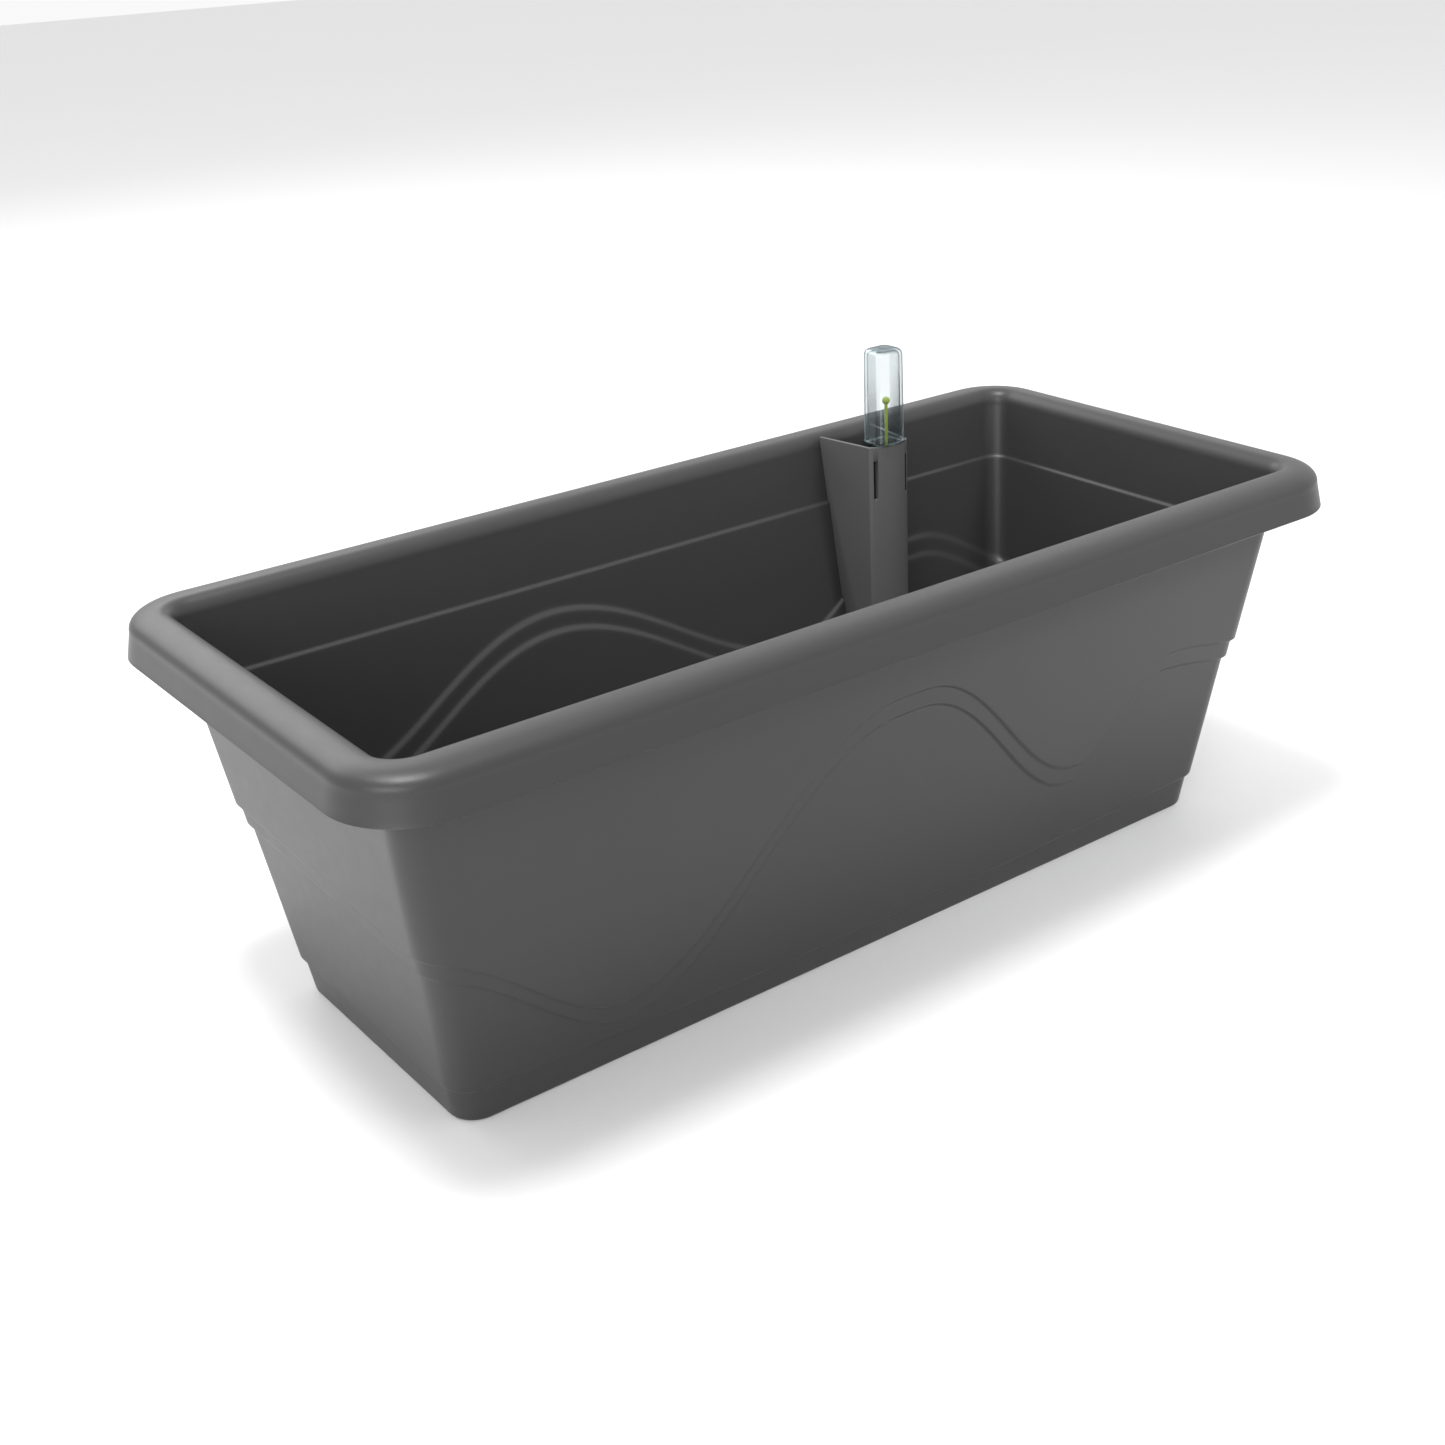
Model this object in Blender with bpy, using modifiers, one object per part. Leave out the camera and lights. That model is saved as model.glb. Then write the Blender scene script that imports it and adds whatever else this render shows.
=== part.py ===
"""Self-watering window box with a wave relief, a filler shaft and a float gauge.

Sizes are in metres. The long side lies along X, the front is at -Y and the base stands on z = 0.
"""

import math

import bpy
import bmesh
from mathutils import Matrix, Vector

# Planter box: outline of the rolled lip, of the walls and of the base
LENGTH, WIDTH, HEIGHT = 0.500, 0.236, 0.175
LIP_BOTTOM = 0.157
LIP_RADIUS = 0.033
BASE_HALF = (0.2061, 0.0692)
DRAFT = (0.129, 0.1424)
WALL = 0.0025
FLOOR = 0.0025
CORNER_RADIUS = 0.012
STEP = 0.0013
STEP_RISE = 0.0012
LEDGE_Z = 0.141
LEDGE_DEPTH = 0.0009
RIM_START = 0.168
CROWN_POWER = 0.85  # below 1, the crown is flatter and its shoulder tighter than an ellipse
LIP_REACH = 0.021  # from the inner wall out to the edge of the lip
CROWN = 0.3
SHOULDER, SHOULDER_Z = 0.89, 0.1680  # where the crown turns into the straight apron
GAP = 0.0003

# Crests and troughs (x, z) of the relief's upper line on the two long walls
FRONT_WAVE = [(-0.225, 0.085), (-0.138, 0.031), (0.000, 0.1255), (0.012, 0.1255),
              (0.115, 0.054), (0.163, 0.096), (0.225, 0.088)]
BACK_WAVE = [(-0.225, 0.090), (-0.182, 0.078), (-0.056, 0.1276), (0.076, 0.076),
             (0.150, 0.1105), (0.160, 0.1105), (0.232, 0.084)]
WAVE_BAND = 0.0090
WAVE_HALF = 0.2070  # half length of the walls' straight part, halfway up
FOOT_STEP_Z = (0.0125, 0.004)
LONG_SEGMENTS, SHORT_SEGMENTS, CORNER_SEGMENTS = 20, 3, 4

# Water divider, its legs and its wick baskets
DIVIDER_Z = 0.0460
DIVIDER_THICK = 0.0022
DIVIDER_CLEARANCE = 0.0013
LEG_RADIUS = 0.005
LEG_X = (-0.186, -0.095, -0.005, 0.086, 0.186)
LEG_Y = 0.052
BASKET_X = (-0.140, -0.050, 0.040)
BASKET_TOP_RADIUS, BASKET_FOOT_RADIUS = 0.0260, 0.0190
BASKET_FLANGE_RADIUS = 0.0300
BASKET_WALL = 0.0018
BASKET_FOOT_Z = 0.0040
AIR_HOLE_RADIUS = 0.0025

# Filler shaft, gauge tube, float and overflow plug
SHAFT_X, SHAFT_Y = 0.1254, 0.0626
SHAFT_HALF = 0.0123
SHAFT_BOW = 0.0048
SHAFT_FLARE = 0.148
SHAFT_WALL = 0.0016
SHAFT_TOP = 0.1738
SLOT_X, SLOT_WIDTH, SLOT_Z = 0.0096, 0.0018, (0.1475, 0.1670)
TUBE_X, TUBE_Y = 0.1256, 0.0658
TUBE_TOP = 0.2205
TUBE_WALL = 0.0012
TUBE_ROUNDING = 0.28
ROD_X, ROD_Y, ROD_RADIUS = 0.1256, 0.0640, 0.0010
ROD_TOP, BEAD_RADIUS = 0.1950, 0.0017
GUIDE_Z = 0.1440
FLOAT_BOTTOM, FLOAT_HEIGHT = 0.0080, 0.0130
PLUG_Z = 0.036
PLUG_RADIUS = 0.0050

MATERIALS = {
    "anthracite_plastic": ((0.075, 0.077, 0.080, 1.0), 0.50),
    "divider_plastic": ((0.040, 0.041, 0.043, 1.0), 0.55),
    "clear_plastic": ((0.80, 0.90, 0.90, 0.35), 0.05),
    "indicator_plastic": ((0.62, 0.68, 0.10, 1.0), 0.35),
    "float_foam": ((0.85, 0.85, 0.82, 1.0), 0.80),
    "seal_rubber": ((0.02, 0.02, 0.02, 1.0), 0.70),
}


def clear_scene():
    for obj in list(bpy.data.objects):
        bpy.data.objects.remove(obj, do_unlink=True)


def collection(name):
    made = bpy.data.collections.new(name)
    bpy.context.scene.collection.children.link(made)
    return made


def material(name):
    found = bpy.data.materials.get(name)
    if found:
        return found
    colour, roughness = MATERIALS[name]
    made = bpy.data.materials.new(name)
    made.use_nodes = True
    shader = made.node_tree.nodes["Principled BSDF"]
    shader.inputs["Base Color"].default_value = colour
    shader.inputs["Roughness"].default_value = roughness
    shader.inputs["Metallic"].default_value = 0.0
    shader.inputs["Alpha"].default_value = colour[3]
    return made


def add_mesh(name, mesh_data, group, material_name=None):
    """A new object in its collection, from a bmesh that is used up here."""
    mesh = bpy.data.meshes.new(name)
    mesh_data.normal_update()
    bmesh.ops.recalc_face_normals(mesh_data, faces=mesh_data.faces)
    mesh_data.to_mesh(mesh)
    mesh_data.free()
    obj = bpy.data.objects.new(name, mesh)
    group.objects.link(obj)
    if material_name:
        mesh.materials.append(material(material_name))
        mesh.shade_smooth()
        mesh.set_sharp_from_angle(angle=math.radians(35))
    return obj


def add_cutter(name, mesh_data):
    obj = add_mesh(name, mesh_data, CUTTERS)
    obj.hide_render = True
    obj.display_type = "WIRE"
    return obj


def boolean(obj, other, operation="DIFFERENCE"):
    modifier = obj.modifiers.new(other.name, "BOOLEAN")
    modifier.operation = operation
    modifier.solver = "EXACT"
    modifier.object = other


def cylinder(radius, low, high, x=0.0, y=0.0, segments=16, top_radius=None):
    """A closed cylinder or cone along Z, as a bmesh."""
    made = bmesh.new()
    top = radius if top_radius is None else top_radius
    place = Matrix.Translation((x, y, (low + high) / 2))
    bmesh.ops.create_cone(made, cap_ends=True, segments=segments, radius1=radius,
                          radius2=top, depth=high - low, matrix=place)
    return made


def block(low, high):
    made = bmesh.new()
    size = Vector(high) - Vector(low)
    place = Matrix.Translation((Vector(low) + Vector(high)) / 2) @ Matrix.Diagonal((*size, 1))
    bmesh.ops.create_cube(made, size=1.0, matrix=place)
    return made


def merge(parts):
    """One bmesh that holds every given bmesh."""
    whole = bmesh.new()
    for part in parts:
        mesh = bpy.data.meshes.new("merged")
        part.to_mesh(mesh)
        part.free()
        whole.from_mesh(mesh)
        bpy.data.meshes.remove(mesh)
    return whole


def loft(rings):
    """A closed body through rings of equal length, with both end rings capped."""
    made = bmesh.new()
    rows = [[made.verts.new(point) for point in ring] for ring in rings]
    for lower, upper in zip(rows, rows[1:]):
        for i in range(len(lower)):
            j = (i + 1) % len(lower)
            made.faces.new((lower[i], lower[j], upper[j], upper[i]))
    made.faces.new(rows[0][::-1])
    made.faces.new(rows[-1])
    return made


def plan_columns(long_segments, short_segments, corner_segments):
    """Unit outline of a rounded rectangle: (fx, fy) of the straight part and the normal (nx, ny)."""
    columns = []
    sides = [((-1, -1), (1, -1), long_segments, -90), ((1, -1), (1, 1), short_segments, 0),
             ((1, 1), (-1, 1), long_segments, 90), ((-1, 1), (-1, -1), short_segments, 180)]
    for start, end, segments, angle in sides:
        normal = (round(math.cos(math.radians(angle))), round(math.sin(math.radians(angle))))
        for i in range(segments + 1):
            t = i / segments
            columns.append((start[0] + (end[0] - start[0]) * t,
                            start[1] + (end[1] - start[1]) * t, *normal))
        for i in range(1, corner_segments):
            turn = math.radians(angle + 90 * i / corner_segments)
            columns.append((*end, math.cos(turn), math.sin(turn)))
    return columns


def outline(columns, half, radius, level):
    """A ring of points. level is a height, or a function of x and of -1 to 1 from front to back."""
    points = []
    for fx, fy, nx, ny in columns:
        flat = level if isinstance(level, float) else level(fx * WAVE_HALF + nx * CORNER_RADIUS, fy)
        hx, hy = half(flat) if callable(half) else half
        points.append((fx * (hx - radius) + radius * nx, fy * (hy - radius) + radius * ny, flat))
    return points


def through_extremes(points, x):
    """Height at x of a line that eases with a cosine from each listed point to the next."""
    for (x0, z0), (x1, z1) in zip(points, points[1:]):
        if x <= x1:
            t = min(max((x - x0) / (x1 - x0), 0.0), 1.0)
            return z0 + (z1 - z0) * (1 - math.cos(math.pi * t)) / 2
    return points[-1][1]


def wave_level(shift):
    """The relief line all round the box, raised by shift: front wave, back wave, ease on the ends."""
    def level(x, side):
        front, back = through_extremes(FRONT_WAVE, x), through_extremes(BACK_WAVE, x)
        return front + (back - front) * (side + 1) / 2 + shift
    return level


def foot_level(shift):
    """The low step round the foot, which dips a little in the middle of the long walls."""
    def level(x, _):
        middle, rise = FOOT_STEP_Z
        return middle + rise * min(abs(x) / BASE_HALF[0], 1.0) ** 2 + shift
    return level


def wall_half(zone, inset):
    """Half sizes of a wall face at height z. zone counts the steps passed on the way up."""
    def half(z):
        return tuple(base + draft * z + STEP * zone - inset
                     for base, draft in zip(BASE_HALF, DRAFT))
    return half


def wall_rings(columns, inset):
    """Rings of one wall face from the foot up to the start of the rim."""
    lift = STEP_RISE / 2
    levels = [(0, foot_level(-lift)), (1, foot_level(lift)),
              (1, wave_level(-WAVE_BAND - lift)), (2, wave_level(-WAVE_BAND + lift)),
              (2, wave_level(-lift)), (3, wave_level(lift))]
    return [outline(columns, wall_half(zone, inset), CORNER_RADIUS - inset, level)
            for zone, level in levels]


def rim_half(out):
    """Half sizes on the rim, from the top of the inner wall (0) to the outside of the lip (1)."""
    inner = wall_half(3, WALL)(RIM_START)
    outer = (LENGTH / 2, WIDTH / 2)
    return tuple(i + (o - i) * out for i, o in zip(inner, outer))


def rim_rings(columns, steps, shrink):
    """Rings up the lip's apron and over its shoulder to the crown, moved inwards by shrink."""
    thin = shrink / LIP_REACH
    rings = [outline(columns, rim_half(1 - thin), rim_radius(1 - thin), LIP_BOTTOM)]
    for i in range(steps + 1):
        turn = math.pi / 2 * (1 - i / steps)
        out = CROWN + (SHOULDER - CROWN - thin) * math.sin(turn) ** CROWN_POWER
        z = SHOULDER_Z + (HEIGHT - SHOULDER_Z - shrink) * math.cos(turn) ** CROWN_POWER
        rings.append(outline(columns, rim_half(out), rim_radius(out), z))
    return rings


def rim_radius(out):
    inner = CORNER_RADIUS - WALL
    return inner + (LIP_RADIUS - inner) * out


def planter_box():
    columns = plan_columns(LONG_SEGMENTS, SHORT_SEGMENTS, CORNER_SEGMENTS)
    base = wall_half(0, 0.0)
    rings = [outline(columns, wall_half(0, 0.0018)(0.0), CORNER_RADIUS - 0.0018, 0.0),
             outline(columns, base, CORNER_RADIUS, 0.0018)]
    rings += wall_rings(columns, 0.0)
    rings.append(outline(columns, wall_half(3, 0.0), CORNER_RADIUS, RIM_START - 0.0005))
    rings += rim_rings(columns, 4, WALL)[::-1]
    rings += rim_rings(columns, 5, 0.0)
    for turn in (60, 30, 0):
        out = CROWN * (1 - math.cos(math.radians(turn)))
        z = RIM_START + (HEIGHT - RIM_START) * math.sin(math.radians(turn))
        rings.append(outline(columns, rim_half(out), rim_radius(out), z))
    thin, thick = WALL, WALL + LEDGE_DEPTH
    rings.append(outline(columns, wall_half(3, thin), CORNER_RADIUS - thin, LEDGE_Z + 0.0005))
    rings.append(outline(columns, wall_half(3, thick), CORNER_RADIUS - thick, LEDGE_Z - 0.0005))
    rings += wall_rings(columns, thick)[::-1]
    rings.append(outline(columns, wall_half(0, thick), CORNER_RADIUS - thick, FLOOR + 0.0015))
    rings.append(outline(columns, wall_half(0, thick + 0.0015)(FLOOR),
                         CORNER_RADIUS - thick - 0.0015, FLOOR))
    box = add_mesh("planter_box", loft(rings), PARTS, "anthracite_plastic")
    hole = cylinder(PLUG_RADIUS + GAP, -0.012, 0.012, segments=20)
    hole.transform(plug_place())
    boolean(box, add_cutter("overflow_hole", hole))
    return box


def plug_place():
    """Frame of the overflow plug: +Z is the outward normal of the right end wall."""
    lean = math.atan(DRAFT[0])
    x = wall_half(1, 0.0)(PLUG_Z)[0]
    return Matrix.Translation((x, 0.0, PLUG_Z)) @ Matrix.Rotation(math.pi / 2 + lean, 4, "Y")


def divider_half():
    reach = [size - DIVIDER_CLEARANCE for size in wall_half(1, WALL + LEDGE_DEPTH)(DIVIDER_Z)]
    return tuple(reach)


def float_well():
    """Low and high corner, in plan, of the divider's notch for the float under the shaft."""
    return (0.1085, 0.0380), (0.1425, 0.1000)


def air_holes():
    """Centres of the divider's air holes, clear of the legs, the baskets and the float well."""
    (well_x0, well_y0), (well_x1, _) = float_well()
    spots = []
    for column in range(-13, 14):
        for row in range(-4, 5, 2):
            x, y = 0.015 * column, 0.015 * row
            near_basket = any(math.hypot(x - bx, y) < BASKET_FLANGE_RADIUS + 0.006 for bx in BASKET_X)
            near_leg = any(math.hypot(x - lx, abs(y) - LEG_Y) < 0.010 for lx in LEG_X)
            in_well = well_x0 - 0.010 < x < well_x1 + 0.010 and y > well_y0 - 0.008
            if not (near_basket or near_leg or in_well) and column % 2 == 0:
                spots.append((x, y))
    return spots


def water_divider():
    columns = plan_columns(1, 1, 3)
    top = DIVIDER_Z + DIVIDER_THICK
    rings = [outline(columns, divider_half(), 0.007, z) for z in (DIVIDER_Z, top)]
    plate = add_mesh("water_divider", loft(rings), PARTS, "divider_plastic")
    for i, (x, side) in enumerate((x, side) for x in LEG_X for side in (-1, 1)):
        leg = cylinder(LEG_RADIUS * 0.7, FLOOR + GAP, DIVIDER_Z + 0.0005, x, side * LEG_Y, 8, LEG_RADIUS)
        boolean(plate, add_cutter(f"divider_leg_{i}", leg), "UNION")
    low, high = DIVIDER_Z - 0.002, top + 0.002
    holes = [cylinder(BASKET_TOP_RADIUS + 0.0006, low, high, x, 0.0, 24) for x in BASKET_X]
    holes += [cylinder(AIR_HOLE_RADIUS, low, high, x, y, 6) for x, y in air_holes()]
    (x0, y0), (x1, y1) = float_well()
    holes.append(block((x0, y0, low), (x1, y1, high)))
    boolean(plate, add_cutter("divider_holes", merge(holes)))
    return plate


def turned(name, profile, steps, x, material_name):
    """A turned body: a closed half profile of (radius, z) with a Screw modifier, made a mesh at x."""
    mesh = bpy.data.meshes.new(name)
    points = [(radius, 0.0, z) for radius, z in profile]
    edges = [(i, i + 1) for i in range(len(points) - 1)]
    mesh.from_pydata(points, edges, [])
    obj = bpy.data.objects.new(name, mesh)
    obj.location.x = x
    PARTS.objects.link(obj)
    mesh.materials.append(material(material_name))
    screw = obj.modifiers.new("turn", "SCREW")
    screw.steps = screw.render_steps = steps
    screw.use_merge_vertices = True
    screw.merge_threshold = 0.00001
    return obj


def wick_basket(index, x):
    """A tapered cup with side slots, hung by its flange in the divider."""
    top = DIVIDER_Z + DIVIDER_THICK + GAP
    wall = BASKET_WALL
    profile = [(0.0, BASKET_FOOT_Z + wall), (BASKET_FOOT_RADIUS - wall, BASKET_FOOT_Z + wall),
               (BASKET_TOP_RADIUS - wall, top), (BASKET_TOP_RADIUS - wall, top + wall),
               (BASKET_FLANGE_RADIUS, top + wall), (BASKET_FLANGE_RADIUS, top),
               (BASKET_TOP_RADIUS, top), (BASKET_FOOT_RADIUS, BASKET_FOOT_Z), (0.0, BASKET_FOOT_Z)]
    basket = turned(f"wick_basket_{index}", profile, 24, x, "divider_plastic")
    slots = []
    for i in range(4):
        slot = block((-0.040, -0.0016, 0.010), (0.040, 0.0016, 0.036))
        slot.transform(Matrix.Translation((x, 0, 0)) @ Matrix.Rotation(math.pi * (i + 0.5) / 4, 4, "Z"))
        slots.append(slot)
    for i, slot in enumerate(slots):
        boolean(basket, add_cutter(f"basket_{index}_slot_{i}", slot))
    return basket


def shaft_plan(inset, depth):
    """Open outline of the channel: back left, bowed front, back right, moved inwards by inset."""
    half, bow = SHAFT_HALF - inset, SHAFT_BOW
    radius = (half ** 2 + bow ** 2) / (2 * bow)
    sweep = math.asin(half / radius)
    front = SHAFT_Y - bow + inset
    points = [(-half - SHAFT_FLARE * depth, SHAFT_Y + depth)]
    for i in range(9):
        turn = sweep * (i / 4 - 1)
        points.append((radius * math.sin(turn), front + radius * (1 - math.cos(turn))))
    points.append((half + SHAFT_FLARE * depth, SHAFT_Y + depth))
    return [(SHAFT_X + x, y) for x, y in points]


def prism(points, low, high):
    """A closed body with a flat outline in plan, from z = low to z = high."""
    return loft([[(x, y, z) for x, y in points] for z in (low, high)])


def wall_section(x):
    """Outline in (y, z) of what lies beyond the back wall's inner face at x, less a clearance."""
    thin, thick = WALL + 0.0005, WALL + LEDGE_DEPTH + 0.0005
    upper = max(through_extremes(BACK_WAVE, x + shift) for shift in (-0.005, 0.0, 0.005))
    lower = upper - WAVE_BAND
    rows = [(1, thick, DIVIDER_Z - 0.01), (1, thick, lower + 0.0012), (2, thick, lower + 0.0024),
            (2, thick, upper + 0.0012), (3, thick, upper + 0.0024), (3, thick, LEDGE_Z),
            (3, thin, LEDGE_Z + 0.0015), (3, thin, HEIGHT + 0.004)]
    inner = [(wall_half(zone, inset)(z)[1], z) for zone, inset, z in rows]
    return inner + [(0.130, HEIGHT + 0.004), (0.130, DIVIDER_Z - 0.01)]


def behind_wall():
    """Everything beyond the inner face of the back wall near the shaft, as a cutter."""
    rings = []
    for step in range(-5, 6):
        x = SHAFT_X + 0.006 * step
        rings.append([(x, y, z) for y, z in wall_section(x)])
    return add_cutter("behind_back_wall", loft(rings))


def filler_shaft():
    """The upright channel that stands on the divider and leans its edges on the back wall."""
    foot = DIVIDER_Z + DIVIDER_THICK + GAP
    depth = 0.045
    shaft = add_mesh("filler_shaft", prism(shaft_plan(0.0, depth), foot, SHAFT_TOP), PARTS,
                     "anthracite_plastic")
    flange = block((SHAFT_X - 0.0245, 0.0445, foot), (SHAFT_X + 0.0245, 0.0900, foot + 0.0018))
    boolean(shaft, add_cutter("shaft_foot_flange", flange), "UNION")
    bore = prism(shaft_plan(SHAFT_WALL, depth + 0.004), foot - 0.002, SHAFT_TOP + 0.002)
    boolean(shaft, add_cutter("shaft_bore", bore))
    boolean(shaft, behind_wall())
    for side in (-1, 1):
        x = SHAFT_X + side * SLOT_X
        slot = block((x - SLOT_WIDTH / 2, SHAFT_Y - 0.010, SLOT_Z[0]),
                     (x + SLOT_WIDTH / 2, SHAFT_Y + 0.003, SLOT_Z[1]))
        boolean(shaft, add_cutter(f"shaft_slot_{side + 1}", slot))
    return shaft


def rod_guide():
    """Small bridge across the channel with the hole that keeps the float rod upright."""
    inset = SHAFT_WALL + GAP
    guide = add_mesh("rod_guide", prism(shaft_plan(inset, 0.0110), GUIDE_Z, GUIDE_Z + 0.0022), PARTS,
                     "divider_plastic")
    hole = cylinder(ROD_RADIUS + 0.0005, GUIDE_Z - 0.002, GUIDE_Z + 0.004, ROD_X, ROD_Y, 12)
    boolean(guide, add_cutter("guide_hole", hole))
    return guide


def tube_plan(width, depth, bow):
    """Rounded outline of the gauge tube in plan, a little narrower at its back."""
    points = []
    radius = width * TUBE_ROUNDING
    for fx, fy, nx, ny in plan_columns(2, 1, 4):
        x = fx * (width / 2 - radius) + radius * nx
        y = fy * (depth / 2 - radius) + radius * ny
        narrow = 1 - 0.08 * (y / depth + 0.5)
        bulge = bow * (1 - (2 * x / width) ** 2) if ny < -0.5 else 0.0
        points.append((TUBE_X + x * narrow, TUBE_Y + y - bulge))
    return points


def tube_rings(rows, inset):
    """Rings of the tube at (width, depth, bow, height) rows, moved inwards by inset."""
    return [[(x, y, z) for x, y in tube_plan(width - 2 * inset, depth - 2 * inset, bow)]
            for width, depth, bow, z in rows]


def gauge_tube():
    """Clear cap: a skirt inside the shaft, a bead on the shaft's top and the sight dome above."""
    skirt, bead, dome = GUIDE_Z + 0.0022 + GAP, SHAFT_TOP + GAP, TUBE_TOP
    outside = [(0.0140, 0.0110, 0.0, skirt), (0.0140, 0.0110, 0.0, bead),
               (0.0180, 0.0154, 0.0010, bead), (0.0180, 0.0154, 0.0010, bead + 0.0012),
               (0.0172, 0.0146, 0.0010, bead + 0.0013), (0.0164, 0.0142, 0.0010, dome - 0.0030),
               (0.0154, 0.0132, 0.0008, dome - 0.0009), (0.0130, 0.0110, 0.0004, dome)]
    tube = add_mesh("gauge_tube", loft(tube_rings(outside, 0.0)), PARTS, "clear_plastic")
    inside = [(0.0140, 0.0110, 0.0, skirt - 0.001), (0.0140, 0.0110, 0.0, bead + 0.0010),
              (0.0170, 0.0144, 0.0008, bead + 0.0030), (0.0164, 0.0142, 0.0008, dome - 0.0045),
              (0.0142, 0.0120, 0.0004, dome - TUBE_WALL)]
    boolean(tube, add_cutter("tube_inside", loft(tube_rings(inside, TUBE_WALL))))
    return tube


def float_body():
    """Light block under the shaft. Its back is kept clear of the sloping wall."""
    half = (0.0122, 0.0110)
    columns = plan_columns(1, 1, 3)
    middle = (ROD_X, 0.0549)
    low, high = FLOAT_BOTTOM, FLOAT_BOTTOM + FLOAT_HEIGHT
    rings = []
    for inset, z in ((0.0015, low), (0.0, low + 0.0015), (0.0, high - 0.0015), (0.0015, high)):
        size = (half[0] - inset, half[1] - inset)
        rings.append([(x + middle[0], y + middle[1], z) for x, y, z in outline(columns, size, 0.0035, z)])
    body = add_mesh("float_body", loft(rings), PARTS, "float_foam")
    hole = cylinder(ROD_RADIUS + GAP, low - 0.002, high + 0.002, ROD_X, ROD_Y - 0.0002, 12)
    boolean(body, add_cutter("float_hole", hole))
    return body


def float_rod():
    """Thin rod with a ball at its top, which shows in the gauge tube."""
    low = FLOAT_BOTTOM + 0.001
    rod = add_mesh("float_rod", cylinder(ROD_RADIUS, low, ROD_TOP, ROD_X, ROD_Y - 0.0002, 12), PARTS,
                   "indicator_plastic")
    ball = bmesh.new()
    place = Matrix.Translation((ROD_X, ROD_Y - 0.0002, ROD_TOP))
    bmesh.ops.create_uvsphere(ball, u_segments=12, v_segments=8, radius=BEAD_RADIUS, matrix=place)
    boolean(rod, add_cutter("rod_ball", ball), "UNION")
    return rod


def overflow_plug():
    """Push-in plug with a domed head, in the frame of the right end wall."""
    seal_top = 0.0018 + GAP
    head = cylinder(0.0085, seal_top + GAP, seal_top + 0.0032, segments=20, top_radius=0.0070)
    shank = cylinder(PLUG_RADIUS - 0.0004, -0.0080, seal_top + 0.0010, segments=20)
    shank.transform(plug_place())
    head.transform(plug_place())
    plug = add_mesh("overflow_plug", head, PARTS, "anthracite_plastic")
    boolean(plug, add_cutter("plug_shank", shank), "UNION")
    return plug


def plug_seal():
    ring = cylinder(0.0078, GAP, 0.0018, segments=20)
    ring.transform(plug_place())
    seal = add_mesh("plug_seal", ring, PARTS, "seal_rubber")
    hole = cylinder(PLUG_RADIUS - 0.0001, -0.003, 0.005, segments=20)
    hole.transform(plug_place())
    boolean(seal, add_cutter("seal_hole", hole))
    return seal


def set_origin(obj, place):
    """Moves the object's origin to a point on its joint's axis, with its shape left where it is."""
    shift = Vector(place) - obj.location
    obj.data.transform(Matrix.Translation(-shift))
    obj.location = Vector(place)


clear_scene()
PARTS = collection("self_watering_planter")
CUTTERS = collection("cutters")
planter_box()
set_origin(water_divider(), (0.0, 0.0, DIVIDER_Z))
for number, basket_x in enumerate(BASKET_X, 1):
    wick_basket(number, basket_x)
set_origin(filler_shaft(), (SHAFT_X, SHAFT_Y, DIVIDER_Z))
set_origin(rod_guide(), (ROD_X, ROD_Y, GUIDE_Z))
set_origin(gauge_tube(), (TUBE_X, TUBE_Y, SHAFT_TOP))
set_origin(float_body(), (ROD_X, ROD_Y, FLOAT_BOTTOM))
set_origin(float_rod(), (ROD_X, ROD_Y, FLOAT_BOTTOM))
plug_at = plug_place().to_translation()
set_origin(overflow_plug(), plug_at)
set_origin(plug_seal(), plug_at)
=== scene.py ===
import logging
import math
from dataclasses import dataclass, field
from enum import Enum
from typing import Callable, Sequence

import bpy
import bmesh
from mathutils import Matrix, Vector


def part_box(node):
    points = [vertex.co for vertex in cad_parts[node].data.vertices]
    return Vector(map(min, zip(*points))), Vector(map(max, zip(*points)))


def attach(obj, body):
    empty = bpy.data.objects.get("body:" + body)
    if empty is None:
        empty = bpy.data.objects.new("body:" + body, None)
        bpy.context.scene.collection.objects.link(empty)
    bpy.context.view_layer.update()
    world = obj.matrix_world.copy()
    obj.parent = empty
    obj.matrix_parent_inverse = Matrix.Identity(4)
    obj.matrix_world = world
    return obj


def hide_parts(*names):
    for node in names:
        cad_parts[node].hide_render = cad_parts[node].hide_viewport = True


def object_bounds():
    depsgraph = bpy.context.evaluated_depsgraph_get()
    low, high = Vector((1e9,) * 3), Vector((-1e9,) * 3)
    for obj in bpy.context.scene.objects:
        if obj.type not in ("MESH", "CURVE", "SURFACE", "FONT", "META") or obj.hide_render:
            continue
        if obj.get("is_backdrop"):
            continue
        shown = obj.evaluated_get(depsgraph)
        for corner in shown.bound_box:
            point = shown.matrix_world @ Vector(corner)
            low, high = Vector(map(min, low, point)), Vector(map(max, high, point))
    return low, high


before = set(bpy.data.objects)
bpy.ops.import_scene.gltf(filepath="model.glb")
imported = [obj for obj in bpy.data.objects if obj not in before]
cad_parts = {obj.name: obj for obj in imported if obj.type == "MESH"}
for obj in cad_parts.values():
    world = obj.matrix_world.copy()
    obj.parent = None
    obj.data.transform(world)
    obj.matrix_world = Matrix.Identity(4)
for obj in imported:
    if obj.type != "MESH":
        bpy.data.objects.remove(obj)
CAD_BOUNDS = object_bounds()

LOG = logging.getLogger("self_watering_planter")
SMOOTH_ANGLE = 35.0

Level = Callable[[float, float], float]
Point = tuple[float, float, float]
Ring = list[Point]
Profile = Sequence[tuple[float, float]]
Colour = tuple[float, float, float, float]


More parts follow.
